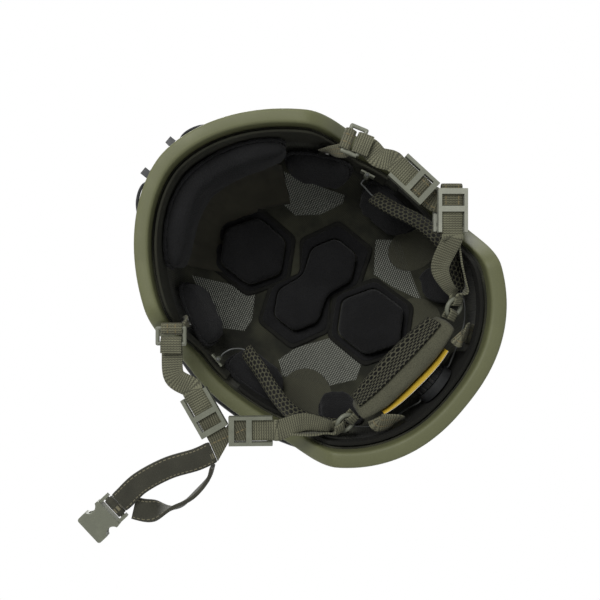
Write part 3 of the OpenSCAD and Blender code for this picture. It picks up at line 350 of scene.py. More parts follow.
def liner_finish():
    finish = Finish("liner_cloth", Roughness=0.9, Sheen_Weight=0.12)
    x, y, _ = finish.parts(finish.place())
    window = greatest([window_mask(x, y, corners) for corners in mesh_windows])
    patch = greatest([disc_mask(x, y, *facts) for facts in loop_patches])
    weave = abs((x * (math.pi / 0.0013)).sine()) * abs((y * (math.pi / 0.0013)).sine())
    cords = abs(((x * 0.86 + y * 0.51) * (math.pi / 0.0014)).sine())
    bars = abs(((y * 0.86 - x * 0.51) * (math.pi / 0.0017)).sine())
    net = cords.ramp(0.5, 0.9) * (0.35 + bars.ramp(0.3, 0.8) * 0.65)
    cloth = finish.mix(finish.noise(0.03, 4.0).ramp(0.35, 0.65), tone(40, 41, 30), tone(74, 74, 57))
    cloth = finish.mix((1 - weave) * 0.5, cloth, tone(20, 21, 15))
    mesh = finish.mix(net, tone(18, 19, 16), tone(184, 186, 172))
    loops = finish.mix(finish.noise(0.0012, 2.0), tone(66, 66, 52), tone(88, 87, 70))
    base = finish.mix(patch, finish.mix(window, cloth, mesh), loops)
    return finish.surface(base, weave * 0.4 + window * net + patch * 0.8, 0.0004)


liner_cloth = liner_finish()

# %% [markdown]
# ## Hard finishes
# The edge trim is matt olive rubber with rubbed patches. The shell has a rough sprayed coat. The small
# plastic parts are moulded, so they get a faint orange-peel bump and paler, smoother rubbed spots.

# %% Rubber, coating and plastic
def moulded(name, colour, rough=0.5, grain=0.0008, depth=0.00005, worn=1.25, wear=0.009, metallic=0.0):
    finish = Finish(name, Metallic=metallic)
    rub = finish.noise(wear, 5.0)
    speck = finish.noise(grain, 2.0)
    base = finish.mix(rub.ramp(0.45, 0.75), colour, shade(colour, worn))
    base = finish.mix(speck.ramp(0.3, 0.7) * 0.25, base, shade(colour, 0.6))
    finish.give("Roughness", rough + 0.18 - rub * 0.3)
    return finish.surface(base, speck, depth)


trim_rubber = moulded("trim_rubber", tone(110, 112, 78), rough=0.55, worn=1.12, wear=0.03)
shell_paint = moulded("shell_paint", tone(92, 94, 68), rough=0.8, grain=0.0014, depth=0.00035, wear=0.05)
hard_black = moulded("hard_black", tone(44, 45, 46), rough=0.5, worn=1.5)
dial_black = moulded("dial_black", tone(30, 30, 31), rough=0.42, worn=1.5)
buckle_plastic = moulded("buckle_plastic", tone(126, 128, 112), rough=0.42, worn=1.2)
plug_plastic = moulded("plug_plastic", tone(160, 161, 146), rough=0.4, worn=1.15)
dark_steel = moulded("dark_steel", tone(120, 120, 118), rough=0.35, worn=1.3, wear=0.003, metallic=1.0)
lace_cord = moulded("lace_cord", tone(112, 114, 112), rough=0.3, worn=1.1, wear=0.003)
braid = moulded("braid", tone(40, 41, 42), rough=0.7, grain=0.0009, depth=0.0003, worn=1.6, wear=0.004)
card = moulded("card", tone(214, 178, 52), rough=0.55, worn=1.1)
card_edge = moulded("card_edge", tone(232, 230, 222), rough=0.6, worn=1.05)
print("hard finishes made")

# %% [markdown]
# ## The hard parts carried over from CAD
# Buckles, locks, rings, rails, screws and the dial already have their real shape and get a material.
# Their flat facets stay, because the real ones are moulded with crisp edges.

# %% Finishes on the CAD parts
carried = {
    buckle_plastic: [
        "keeper_left", "keeper_right", "front_lock_left", "front_lock_right", "rear_lock_right",
        "nape_ring_left", "nape_ring_right", "female_buckle", "lace_guide_left", "lace_guide_right",
    ],
    plug_plastic: ["male_buckle", "prong_front", "prong_rear", "rear_lock_left"],
    hard_black: ["rail_left", "rail_right", "shroud", "dial_housing", "dial_spool"],
    dial_black: ["dial_knob"],
    dark_steel: ["harness_bolts", "rail_screws", "shroud_screws", "dial_spindle"],
}
for material, names in carried.items():
    for name in names:
        mesh = nodes[name].data
        mesh.materials.clear()
        mesh.materials.append(material)
print("carried over:", sum(len(names) for names in carried.values()))

# %% [markdown]
# ## The helmet's own surface
# The plan is a rounded oval, blunter at the nape than at the brow, and the dome tapers it to the crown.
# One function gives a point of it from an angle round the plan, a height and an inset. Shell, trim,
# liner and bands all stand on it, so they follow each other exactly.

# %% The surface, in millimetres and degrees
half_w, half_l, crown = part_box("shell")[1] / MM
front_round, rear_round, dome_round = 1.8, 2.3, 2.15
skirt, ear_cut = 40, 52
shell_t, liner_t, band_t, trim_t, trim_h = 8, 2, 2.5, 1.5, 12


def spow(value, power):
    return math.copysign(abs(value) ** power, value)


def smooth(t):
    t = min(1, max(0, t))
    return t * t * (3 - 2 * t)


def cos_sin(degrees):
    return math.cos(math.radians(degrees)), math.sin(math.radians(degrees))


def arch(t):
    """0 at both ends of 0 to 1, and 1 in the middle."""
    return math.sin(math.radians(180 * t))


def roundness(y):
    return front_round if y < 0 else rear_round


def plan(angle, inset):
    c, s = cos_sin(angle)
    power = 2 / roundness(s)
    return Vector(((half_w - inset) * spow(c, power), (half_l - inset) * spow(s, power), 0))


def taper(z, inset):
    t = max(0, z - skirt) / (crown - inset - skirt)
    return max(0, 1 - min(1, t) ** dome_round) ** (1 / dome_round)


def wall(angle, z, inset):
    p = plan(angle, inset) * taper(z, inset)
    return Vector((p.x, p.y, z))


def edge_at(angle):
    y = plan(angle, 0).y
    return ear_cut * smooth((y + 80) / 48) * smooth((96 - y) / 38)


def ceiling(x, y, inset):
    e = roundness(y)
    r = ((abs(x) / (half_w - inset)) ** e + (abs(y) / (half_l - inset)) ** e) ** (1 / e)
    rise = (crown - inset - skirt) * (1 - min(1, r) ** dome_round) ** (1 / dome_round)
    return Vector((x, y, skirt + rise))


def angle_at(x, y):
    e = roundness(y) / 2
    return math.degrees(math.atan2(spow(y / half_l, e), spow(x / half_w, e)))


print(f"shell {2 * half_w:.0f} x {2 * half_l:.0f} mm, crown at {crown:.0f} mm")

# %% [markdown]
# ## Laying a grid
# Most soft parts are a flat grid of quads that is laid on a curve or a surface, as a tailor lays cloth
# on a form. The grid carries a map in metres, so a weave keeps its real size, and the quads take
# Solidify, Bevel and Subdivision well.

# %% lay, close, capped and piece
def lay(steps_u, steps_v, where, size=(1, 1)):
    bm = bmesh.new()
    uv = bm.loops.layers.uv.new("cloth")
    bmesh.ops.create_grid(bm, x_segments=steps_u, y_segments=steps_v, size=0.5)
    for face in bm.faces:
        for loop in face.loops:
            co = loop.vert.co
            loop[uv].uv = ((co.x + 0.5) * size[0], (co.y + 0.5) * size[1])
    for vert in bm.verts:
        vert.co = where(vert.co.x + 0.5, vert.co.y + 0.5) * MM
    return bm


touching = 0.02 * MM


def close(bm):
    bmesh.ops.remove_doubles(bm, verts=bm.verts, dist=touching)
    bmesh.ops.recalc_face_normals(bm, faces=bm.faces)
    return bm


def capped(bm):
    """Closes a tube's seam and its open ends."""
    bmesh.ops.remove_doubles(bm, verts=bm.verts, dist=touching)
    bmesh.ops.holes_fill(bm, edges=[e for e in bm.edges if e.is_boundary], sides=0)
    return close(bm)


def join(bm, *others):
    """Adds other meshes to bm as separate closed shells."""
    for other in others:
        mesh = bpy.data.meshes.new("part")
        other.to_mesh(mesh)
        other.free()
        bm.from_mesh(mesh)
        bpy.data.meshes.remove(mesh)
    return bm


def object_of(name, bm):
    mesh = bpy.data.meshes.new(name)
    bm.to_mesh(mesh)
    bm.free()
    made = bpy.data.objects.new(name, mesh)
    scene.collection.objects.link(made)
    return made


def piece(name, bm, material, body, *stands_for, slot=None, thick=0, offset=0, round_off=0, smoother=0,
          sharp=40):
    """A mesh as a visible piece that rides on a body, and stands for some CAD nodes."""
    made = object_of(name, bm)
    mesh = made.data
    mesh.materials.append(material)
    mesh.shade_smooth()
    if sharp:
        mesh.set_sharp_from_angle(angle=math.radians(sharp))
    if thick:
        solidify = made.modifiers.new("thickness", "SOLIDIFY")
        solidify.thickness = thick * MM
        solidify.offset = offset
        solidify.use_even_offset = True
    if round_off:
        bevel = made.modifiers.new("rounded edges", "BEVEL")
        bevel.width = round_off * MM
        bevel.segments = 2
        bevel.limit_method = "ANGLE"
        bevel.angle_limit = math.radians(50)
    if smoother:
        finer = made.modifiers.new("smooth", "SUBSURF")
        finer.levels = finer.render_levels = smoother
    if body:
        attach(made, body)
    if stands_for:
        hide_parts(*stands_for)
    return made


# %% [markdown]
# ## Shell, edge trim and liner
# The shell is one grid from its edge to the crown, whose last row closes into a pole. Solidify gives it
# its eight millimetres. The trim is a U profile that runs once round the edge. The liner is another
# grid just inside, with shallow waves where the cloth hangs between its seams.

# %% Shell
def dome(inset, low, steps_u, steps_v, ripple=0.0):
    def where(u, v):
        angle = 360 * u
        z0 = edge_at(angle) + low
        z = z0 + (crown - inset - z0) * math.sin(math.radians(90 * v))
        sag = ripple * math.sin(math.radians(angle * 14)) * arch(v) ** 2
        return wall(angle, z, inset + sag)

    return close(lay(steps_u, steps_v, where, (0.8, 0.25)))


piece("shell_coated", dome(0, trim_t + 0.15, 168, 48), shell_paint, "helmet", "shell", slot="shell_paint",
      thick=shell_t, offset=-1, sharp=60)

# %% Edge trim
trim_profile = [
    (-trim_t, trim_h), (-trim_t, 7), (-trim_t, 2.6), (-1.2, 1.2), (-0.4, 0.35), (1.0, 0), (4, 0),
    (7, 0), (8.4, 0.35), (9.2, 1.2), (9.5, 2.6), (9.5, 7), (9.5, trim_h), (8.15, trim_h), (8.15, 1.5),
    (-0.15, 1.5), (-0.15, trim_h),
]


def trim_where(u, v):
    angle = 360 * u
    inset, rise = trim_profile[round(v * len(trim_profile)) % len(trim_profile)]
    return wall(angle, edge_at(angle) + rise, inset)


trim = piece("edge_trim_rubber", close(lay(252, len(trim_profile), trim_where, (0.8, 0.05))), trim_rubber,
             "helmet", "edge_trim", slot="trim_rubber", sharp=50)
print("trim faces:", len(trim.data.polygons))

# %% Liner
piece("liner_sewn", dome(shell_t + 0.7 + liner_t / 2, trim_h + 0.7, 168, 40, ripple=0.25), liner_cloth,
      "helmet", "liner", slot="liner_cloth", thick=liner_t - 0.5, sharp=60)

# %% [markdown]
# ## The bands that carry the pads
# The headband runs round the brow from ear to ear and the cradle round the nape. Both are strips that
# stand on the helmet's wall, with rounded edges.

# %% Headband and cradle
band_middle = shell_t + liner_t + 2 + band_t / 2
band_inner = shell_t + liner_t + 2 + band_t
arm_h = 12
cradle_wide = angle_at(34, 130)
cradle_foot, cradle_top = 9, 58


def headband_low(angle):
    return edge_at(angle) + trim_h - 4


def headband_high(angle):
    return max(42, edge_at(angle) + trim_h + 12)


def cradle_low(angle):
    return max(cradle_foot, edge_at(angle) + trim_h - 1)


def cradle_high(angle):
    side = min(angle, 180 - angle)
    more = cradle_top - cradle_foot - arm_h
    return cradle_low(angle) + arm_h + more * smooth((side - cradle_wide + 1) / 3)


def wall_strip(start, end, low, high, steps):
    reach = math.radians(end - start) * (half_w + half_l) / 2 * MM

    def where(u, v):
        angle = start + (end - start) * u
        return wall(angle, low(angle) + (high(angle) - low(angle)) * v, band_middle)

    return lay(steps, 8, where, (reach, 0.035))


piece("headband_sewn", wall_strip(-177, -3, headband_low, headband_high, 120), band_cloth, "helmet",
      "headband", slot="liner_cloth", thick=band_t - 0.5, round_off=0.8)
piece("cradle_sewn", wall_strip(2, 178, cradle_low, cradle_high, 130), rear_band_cloth, "helmet",
      "cradle", slot="cradle_cloth", thick=band_t, round_off=0.9)

# %% [markdown]
# ## Cushions
# Each cushion starts as a closed polar grid: a row of points round an outline, drawn in and lifted row
# by row to the middle. Voxel remesh turns it into even quads, and Cloth with pressure swells it, which
# gives the soft crown and the pulled-in sides that no bevel gives. The back rests on the liner, so its
# points are pinned. The movement is capped, so a pad keeps the room that its CAD solid has.

# %% The swelling
swell_frames, back_facing = 20, 0.35


def applied(made):
    mesh = bpy.data.meshes.new_from_object(made.evaluated_get(bpy.context.evaluated_depsgraph_get()))
    made.modifiers.clear()
    made.data = mesh
    return made


def swell(bm, voxel=3.4, pressure=4.0, cap=2.2, shrink=0.7, heart=Vector((0, 0, 60))):
    """Swells a closed mesh. Points that face away from the helmet's heart are its back, and stay."""
    bmesh.ops.recalc_face_normals(bm, faces=bm.faces)
    bm.normal_update()
    for vert in bm.verts:
        vert.co -= vert.normal * shrink * MM
    body = object_of("swelling", bm)
    remesh = body.modifiers.new("even quads", "REMESH")
    remesh.mode = "VOXEL"
    remesh.voxel_size = voxel * MM
    applied(body)
    rest = [v.co.copy() for v in body.data.vertices]
    facing = [v.normal.dot((v.co - heart * MM).normalized()) for v in body.data.vertices]
    back = body.vertex_groups.new(name="back")
    back.add([i for i, outwards in enumerate(facing) if outwards > back_facing], 1.0, "REPLACE")
    cloth = body.modifiers.new("cloth", "CLOTH")
    cloth.settings.vertex_group_mass = "back"
    cloth.settings.use_pressure = True
    cloth.settings.uniform_pressure_force = pressure
    cloth.settings.effector_weights.gravity = 0
    cloth.point_cache.frame_end = swell_frames
    for number in range(swell_frames):
        scene.frame_set(number + 1)
    applied(body)
    for vert, start in zip(body.data.vertices, rest):
        move = vert.co - start
        if move.length > cap * MM:
            vert.co = start + move.normalized() * cap * MM
    scene.frame_set(1)
    made = bmesh.new()
    made.from_mesh(body.data)
    bpy.data.objects.remove(body)
    return made


# %% [markdown]
# The brow, temple, side and rear pads lie on the helmet's wall. Their outline is a rounded box, drawn
# on the wall by angle and height. A sewn piping runs round the back edge of each, gathered in places.

# %% Pads on the wall
cushion_rows = [
    # shares of the outline and of the thickness, from the middle of the face to the middle of the back
    (0, 1.01 * 1.02), (0.3, 1.01), (0.6, 0.98), (0.86, 0.88), (0.99, 0.68), (1.04, 0.4), (1.0, 0.12),
    (0.94, 0), (0.5, 0), (0, 0),
]
pad_sides = 72
piping_r, piping_rise = 1.5, 1.9
pad_on_band = band_inner + 0.7
pad_on_liner = shell_t + liner_t + 1.25


def wall_pad(angle, height, half_len, half_h, inset, t, gathers=0, power=0.55, drop=0):
    """A pad on the wall. Its end towards the wearer's left may drop, and its upper edge is gathered."""
    reach = (half_w + half_l) / 2 - inset
    degrees_per_radian = 57.3

    def where(x, y, rise):
        gather = gathers * 1.3 * math.sin(x * 0.42) * smooth(y / half_h) * smooth(1.6 - abs(x) / half_len)
        z = height + y - drop * smooth((x / half_len - 0.2) / 0.8)
        return wall(angle + x / reach * degrees_per_radian, z, inset + rise * t + gather)

    turns = [cos_sin(360 * i / pad_sides) for i in range(pad_sides)]
    outline = [Vector((half_len * spow(c, power), half_h * spow(s, power))) for c, s in turns]

    def cushion(u, v):
        share, rise = cushion_rows[round(v * (len(cushion_rows) - 1))]
        p = outline[round(u * pad_sides) % pad_sides] * share
        return where(p.x, p.y, rise)

    def piping(u, v):
        i = round(u * 2 * pad_sides)
        p = (outline[(i // 2) % pad_sides] + outline[((i + 1) // 2) % pad_sides]) / 2
        pull = 1 + 0.012 * math.sin(i * 0.9) * gathers
        fat = piping_r * (1 + 0.25 * gathers * math.sin(i * 1.7))
        out, rise = cos_sin(360 * v)
        p *= pull + fat * out / p.length
        return where(p.x, p.y, (piping_rise + fat * rise) / t)

    body = swell(close(lay(pad_sides, len(cushion_rows) - 1, cushion)))
    return join(body, close(lay(2 * pad_sides, 8, piping, (0.2, 0.01))))


def stuffed(name, bm, body="helmet", material=pad_cloth):
    made = piece(name + "_stuffed", bm, material, body, name, smoother=1, sharp=0)


pads_on_wall = {
    "brow_pad": (-87, 45, 82, 23, pad_on_band, 19, 1, 0.42, 6),
    "temple_pad_left": (-31.5, 77, 26, 18, pad_on_band, 14, 1),
    "temple_pad_right": (-148.5, 77, 26, 18, pad_on_band, 14, 1),
    "side_pad_left": (3.5, 95, 26, 18, pad_on_liner, 13, 0.6),
    "side_pad_right": (175.5, 95, 26, 18, pad_on_liner, 13, 0.6),
    "rear_pad_left": (46, 88, 20, 17, pad_on_liner + 0.35, 13, 0.6),
    "rear_pad_right": (134, 88, 20, 17, pad_on_liner + 0.35, 13, 0.6),
}
for name, facts in pads_on_wall.items():
    stuffed(name, wall_pad(*facts))
print("wall pads:", len(pads_on_wall))

# %% The panel above the brow pad
panel_start, panel_turn, panel_low, panel_h = -127, 80, 62, 70
on_pad, on_liner = pad_on_band + 10, 12.4


def panel_where(u, v):
    """A cloth panel from the pad's upper edge to the crown, gathered where it is sewn to the pad."""
    angle = panel_start + panel_turn * u
    fold = 1.4 * math.sin(angle * 0.9) * (1 - v) + 0.8 * math.sin(angle * 0.37 + 4 * v)
    inset = on_pad + (on_liner - on_pad) * v
    return wall(angle, panel_low + panel_h * v, inset - 1.8 * arch(v) + fold * (1 - v * 0.8))


piece("brow_panel_sewn", lay(90, 24, panel_where, (0.16, 0.075)), panel_cloth, "helmet", slot="liner_cloth",
      thick=0.9, sharp=60)

# %% [markdown]
# The crown pads are hexagons with a flat sewn flange. The flange is a thin ring of its own, with a
# rounded border, and the cushion stands on it a few millimetres in.

# %% Crown pads
def hexagon(x, r, inset):
    far = r - inset / math.cos(math.radians(30))
    return [(x + far * s, far * c) for c, s in (cos_sin(60 * i) for i in range(6))]


def two_hexagons(gap, r, inset):
    a, b = hexagon(gap / 2, r, inset), hexagon(-gap / 2, r, inset)
    waist = r * 0.56 - inset * 0.4
    reach = 6 * min(1, max(0, 1 - inset / 5.2))

    def grown(point, x, share):
        p = Vector(point)
        out = (p - Vector((x, 0))).normalized() * reach * share
        return (p.x + out.x, p.y + out.y)

    right = [grown(a[i], gap / 2, share) for i, share in ((1, 1), (2, 1), (3, 0.7))]
    left = [grown(b[i], -gap / 2, share) for i, share in ((4, 1), (5, 1), (0, 0.7))]
    return [a[0], *right, (0, -waist), b[3], *left, (0, waist)]


def soft_outline(corners, turn_in, corner_points=4, side_points=8):
    """The corners' outline with each corner rounded off, in even steps."""
    points = []
    for i, corner in enumerate(corners):
        here = Vector(corner)
        before = Vector(corners[i - 1])
        after = Vector(corners[(i + 1) % len(corners)])
        start = here + (before - here).normalized() * turn_in
        end = here + (after - here).normalized() * turn_in
        for t in (k / (corner_points - 1) for k in range(corner_points)):
            points.append(start * (1 - t) ** 2 + here * 2 * t * (1 - t) + end * t * t)
        following = after + (here - after).normalized() * turn_in
        points += [end.lerp(following, k / (side_points + 1)) for k in range(1, side_points + 1)]
    return [(p.x, p.y) for p in points]


def crown_pad(x, y, t, corners):
    """The cushion on its flange, and the dark collar that is sewn round the flange."""
    base = pad_on_liner + 0.25

    def where(px, py, rise):
        return ceiling(x + px, y + py, base + rise)

    def outline(inset):
        return soft_outline(corners(inset), 5)

    cushion = [(13.0, t), (9.5, t * 0.97), (7.2, t * 0.91), (5.8, t * 0.74), (5.0, t * 0.5), (5.2, 2.0)]
    flange = [(5.0, 2.5), (1.8, 2.5), (0.5, 2.1), (0.0, 1.3), (0.4, 0.4), (1.4, 0.0), (5.0, 0.0)]
    collar = [(0.4, 1.2), (-2.2, 1.2), (-2.9, 0.9), (-3.2, 0.2), (-2.9, -0.3), (0.4, -0.3)]

    def rings(rows, to_middle=False):
        """Rings round the outline. They close on the first one, or run to the middle of both faces."""
        count = len(outline(0))
        spans = len(rows) + to_middle

        def at(u, v):
            i, k = round(u * count) % count, round(v * spans) - to_middle
            if to_middle and k in (-1, len(rows)):
                return where(0, 0, t * 1.02 if k < 0 else 2.0)
            inset, rise = rows[k % len(rows)]
            if not to_middle and rise > 1:
                rise += 0.35 * math.sin(i * 1.3)
            return where(*outline(inset)[i], rise)

        return close(lay(count, spans, at, (0.3, 0.02)))

    body = swell(rings(cushion, to_middle=True), voxel=3.0, shrink=0.4, cap=1.8)
    return join(body, rings(flange)), rings(collar)


crown_pads = {
    "crown_pad_front": (-9, -58, 16, lambda inset: hexagon(0, 37, inset)),
    "crown_pad_middle": (2.6, 3.5, 14, lambda inset: two_hexagons(49, 30, inset)),
    "crown_pad_rear": (8, 62, 16, lambda inset: hexagon(0, 37, inset)),
}
collars = bmesh.new()
for name, facts in crown_pads.items():
    pad, collar = crown_pad(*facts)
    stuffed(name, pad)
    join(collars, collar)
piece("crown_collars_sewn", collars, rear_band_cloth, "helmet", slot="liner_cloth", sharp=50)
print("crown pads:", len(crown_pads))

# %% [markdown]
# ## Strips along curves
# A strap is a list of controls: a point, the direction across the tape, and its width. A smooth curve
# runs through the points, and a grid is laid along it. The same helper makes every strap, tab, loop
# and chin band, so they all have the same rounded section.

# %% Curves and strips
def curve(p, q, r, s, t):
    """A smooth curve from q to r, on its way from p to s."""
    second, third = 2 * p - 5 * q + 4 * r - s, 3 * q - p - 3 * r + s
    return 0.5 * (2 * q + (r - p) * t + second * t * t + third * t ** 3)


def bend(values, steps):
    last = len(values) - 1
    out = []
    for i in range(last):
        four = [values[max(0, i - 1)], values[i], values[i + 1], values[min(last, i + 2)]]
        out += [curve(*four, k / steps) for k in range(steps)]
    return out + [values[last]]


def way_at(line, i):
    """The direction of a line of points at its point i."""
    return (line[min(len(line) - 1, i + 1)] - line[max(0, i - 1)]).normalized()


def square_to(way, across):
    return (across - across.dot(way) * way).normalized()


web_w, web_t, chin_w, chin_t = 15, 1.6, 16, 3
up = Vector((0, 0, 1))


def vec(*numbers):
    return Vector(numbers)


def level(v):
    return Vector((v.x, v.y, 0))


def side_of(v):
    return up.cross(v).normalized()


def web(point, across, width=web_w):
    return (point, across, width)


def runs(controls, steps):
    """The points, crosswise directions, widths, ways and lengths gone of a strip."""
    points, sides, widths = [bend([c[k] for c in controls], steps) for k in range(3)]
    out, gone = [], 0.0
    for i, (point, side, width) in enumerate(zip(points, sides, widths)):
        way = way_at(points, i)
        gone += (point - points[max(0, i - 1)]).length
        out.append((point, square_to(way, side), width, way, gone))
    return out


# The section of a tape: shares of its width and of its thickness, with rounded edges
tape_half = [
    (-0.5, 0.0), (-0.488, 0.3), (-0.46, 0.46), (-0.3, 0.5), (-0.1, 0.5), (0.1, 0.5), (0.3, 0.5),
    (0.46, 0.46), (0.488, 0.3),
]
tape_section = tape_half + [(-s, -h) for s, h in tape_half]
tape_fit = 0.94  # a tape is a little thinner than its CAD solid


def strip(controls, steps=8, t=web_t):
    line = runs(controls, steps)
    last = len(line) - 1
    count = len(tape_section)
    width = max(r[2] for r in line) * MM

    def where(u, v):
        point, across, wide, way, _ = line[round(u * last)]
        share, height = tape_section[round(v * count) % count]
        return point + across * wide * share + way.cross(across) * height * t * tape_fit

    bm = lay(last, count, where)
    uv = bm.loops.layers.uv["cloth"]
    for face in bm.faces:
        for loop in face.loops:
            u, v = loop[uv].uv
            share = tape_section[round(v * count) % count][0]
            loop[uv].uv = (line[round(u * last)][4] * MM, share * width)
    return capped(bm)


def side_strap(word, node, controls, start, lock):
    """A strap's tape laid along its controls, as a piece that rides on no body, with its place baked in."""
    made = piece(f"{node}_{word}_woven", strip(controls), strap_cloth, None, f"{node}_{word}", sharp=60)
    tuple(start * MM)
    tuple(along(lock, -lock_len / 2) * MM)
    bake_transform(made)


# %% [markdown]
# ## The harness's places
# These are the same places as in the CAD source: the two keepers and the four locks. Each is a point
# and the direction towards where the straps meet.

# %% Places
web_z, keeper_z = 3.6, 4.8
keeper_gap, keeper_rod, lock_len, lock_h = 11, 1.5, 31, 6
wrap_r = keeper_rod + web_t / 2 + 0.4


def spot(x, y, z, dx, dy):
    return (vec(x, y, z), vec(dx, dy, 0).normalized())


def along(k, x):
    return k[0] + k[1] * x


keeper_right = spot(-half_w + 22.5, -54, keeper_z, -0.78, 0.63)
keeper_left = spot(half_w - 20.5, -40, keeper_z, 0.29, 0.96)
front_lock_right = spot(-half_w - 4.9, -1.2, web_z, -0.362, 0.932)
rear_lock_right = spot(-half_w + 5.8, 32.5, web_z, -0.637, -0.771)
front_lock_left = spot(half_w - 15.8, 10.2, web_z, -0.065, 0.997)
rear_lock_left = spot(half_w - 15.5, 45.5, web_z, 0.78, -0.63)


def lock_end(k):
    """The tape inside a lock, and a little rise where it leaves it."""
    lip = -lock_len / 2 - 1
    return [web(along(k, x) + up * max(0, lip - x) * 0.12, side_of(k[1])) for x in (0.4, -8, lip, lip - 4)]


def turn_round(centre, lead, r, across, start, end, slack=1.0):
    """A turn round a bar. Its slack is towards the lead when positive, and away from it when negative."""
    count = math.ceil(abs(end - start) / 45)
    out = []
    for i in range(count + 1):
        c, s = cos_sin(start + (end - start) * i / count)
        reach = c * (abs(slack) if c * slack > 0 else 1)
        out.append(web(centre + r * (s * up + reach * lead), across))
    return out


# %% Front straps and anchor loops
def front_strap(k, lock, middle):
    bar = along(k, keeper_gap / 2)
    across = side_of(k[1])
    return [
        *lock_end(lock),
        web(middle, (across + side_of(lock[1])) / 2), web(bar + k[1] * 7 + up * (wrap_r - 0.4), across),
        *turn_round(bar, k[1], wrap_r, across, 90, 270, slack=-1.5),
        web(bar + k[1] * 7 - up * (wrap_r + 0.2), across),
    ]


for word, k, lock, middle in (
    ("right", keeper_right, front_lock_right, vec(-half_w + 1, -34, 4.6)),
    ("left", keeper_left, front_lock_left, vec(half_w - 18.5, -19, 4.2)),
):
    side_strap(word, "front_strap", front_strap(k, lock, middle), along(k, keeper_gap / 2 + 3), lock)

front_bolt = (angle_at(88, -57), 50)
rear_bolt = (angle_at(48, 124), 38)
anchor_inset = band_inner + web_t / 2 + 1
tab_inset = shell_t + liner_t + 2.4


def wall_across(angle):
    return level(wall(angle + 2, 30, 0) - wall(angle - 2, 30, 0)).normalized()


def anchor_loop(k, bolt):
    across = side_of(k[1])
    rod = along(k, -keeper_gap / 2)
    inwards = -level(rod).normalized()
    bar = rod + across * math.copysign(0.4, across.dot(inwards))
    flat = wall_across(bolt[0]) * (-1 if bolt[0] > 180 else 1)
    down = [(7, 0, 9), (0, 0, 9), (-8, 0.64, 9), (-18, 3.5, 8)]
    return [web(wall(bolt[0], bolt[1] + z, anchor_inset + more), flat, width) for z, more, width in down] + [
        web(bar - k[1] + inwards * 6 + up * 14, flat + across * 1.2, 11),
        web(bar + k[1] * 2.5 + inwards * 1.5 + up * 7, flat * 0.3 + across),
        web(bar + k[1] * wrap_r * 1.5 + up * 1.5, across),
        *turn_round(bar, k[1], wrap_r, across, 360, 135, slack=1.5),
    ]


for word, k, turn in (("left", keeper_left, front_bolt[0]), ("right", keeper_right, 180 - front_bolt[0])):
    piece(f"anchor_loop_{word}_woven", strip(anchor_loop(k, (turn, front_bolt[1]))), tab_cloth, "helmet",
          f"anchor_loop_{word}", slot="webbing", sharp=60)

# %% [markdown]
# ## The nape
# The nape pad hangs between two plastic rings, on the ends of the rear straps. It is olive cloth with a
# spacer mesh on the head's side. Its spine is a smooth curve through five points, and the mesh is a
# strip laid on the pad's front.

# %% The nape pad's spine
nape_t, nape_h, nape_lean = 20, 42, 0.17
nape_right, nape_left = vec(-55, half_l - 53, 24), vec(40, half_l - 43, 25)
nape_path = [
    nape_right, vec(-34, half_l - 48.5, 28), vec(-10, half_l - 46, 30), vec(16, half_l - 43.5, 29), nape_left,
]
nape_fat = [0.72, 0.95, 1, 1, 0.76]
nape_tall = [0.55, 0.88, 1, 0.9, 0.58]


def nape_frame(t):
    """The spine's point, its normal away from the head, and the pad's shares, for t from 0 to 4."""
    i = min(3, int(t))
    k = t - i
    pick = [max(0, i - 1), i, i + 1, min(4, i + 2)]

    def at(values, f):
        return curve(*[values[j] for j in pick], f)

    ahead = at(nape_path, min(1, k + 0.02)) - at(nape_path, max(0, k - 0.02))
    return at(nape_path, k), side_of(level(ahead)), at(nape_fat, k), at(nape_tall, k)


def nape_point(t, turn, out):
    spine, normal, fat, tall = nape_frame(t)
    c, s = cos_sin(turn)
    z = spow(s, 0.6) * (nape_h / 2 * tall + out)
    return spine + up * z + normal * (spow(c, 0.6) * (nape_t / 2 * fat + out) - nape_lean * z)


def nape_where(u, v):
    return nape_point(min(4, max(0, 4 * u)), -360 * v, 0)


def nape_mesh_where(u, v):
    return nape_point(0.32 + 3.36 * u, 122 + 116 * v, 1.2)


nape_body = swell(capped(lay(40, 48, nape_where)), pressure=3.0, cap=0.9, shrink=0.9, heart=vec(0, -4000, 0))
stuffed("nape_pad", nape_body, "nape_rest", nape_cloth)
piece("nape_mesh_knitted", lay(60, 20, nape_mesh_where, (0.09, 0.05)), nape_mesh_cloth, "nape_rest",
      "nape_mesh", slot="spacer_mesh", thick=1.8, round_off=0.5)

# %% Rings' frames, ring tabs and rear straps
ring_gap, ring_r, ring_rod, loop_in, loop_w = 11, 6.8, 1.6, 1.9, 8
loop_r = ring_rod + web_t / 2 + 0.4


def ring_frame(tip, way, tilt):
    way = way.normalized()
    across = (side_of(way) * 0.8 + vec(0, 0, 0.6 * tilt) - way * 0.06 * tilt).normalized()
    return tip - way * ring_gap, way, across


ring_right = ring_frame(nape_right, vec(0.96, 0.1, 0.05), 1)
ring_left = ring_frame(nape_left, vec(-0.96, 0.2, 0.05), -1)


def ring_loop(centre, way, across):
    """The turn of a tape round the rod of a ring. It is wider than round, to clear the rod."""
    n = way.cross(across)
    rod = centre - way * ring_r
    turns = [(1, 0, 0), (0.8, 1, 0.6), (0, 1, 1), (-0.8, 1, 0.6), (-1, 0, 0)]
    return [web(rod + n * loop_r * rise + way * (loop_in * past + loop_r * out), across, loop_w)
            for rise, past, out in turns]


def ring_tab(centre, way, across):
    across = square_to(way, across)
    n = way.cross(across)
    end = centre + way * (ring_gap - 1.3)
    over, under = [web(end + n * loop_r * side, -across, loop_w) for side in (1, -1)]
    return [over, *ring_loop(centre, -way, -across), under]


tabs = join(strip(ring_tab(*ring_right)), strip(ring_tab(*ring_left)))
piece("ring_tabs_woven", tabs, strap_cloth, "nape_rest", "ring_tabs", slot="webbing", sharp=60)


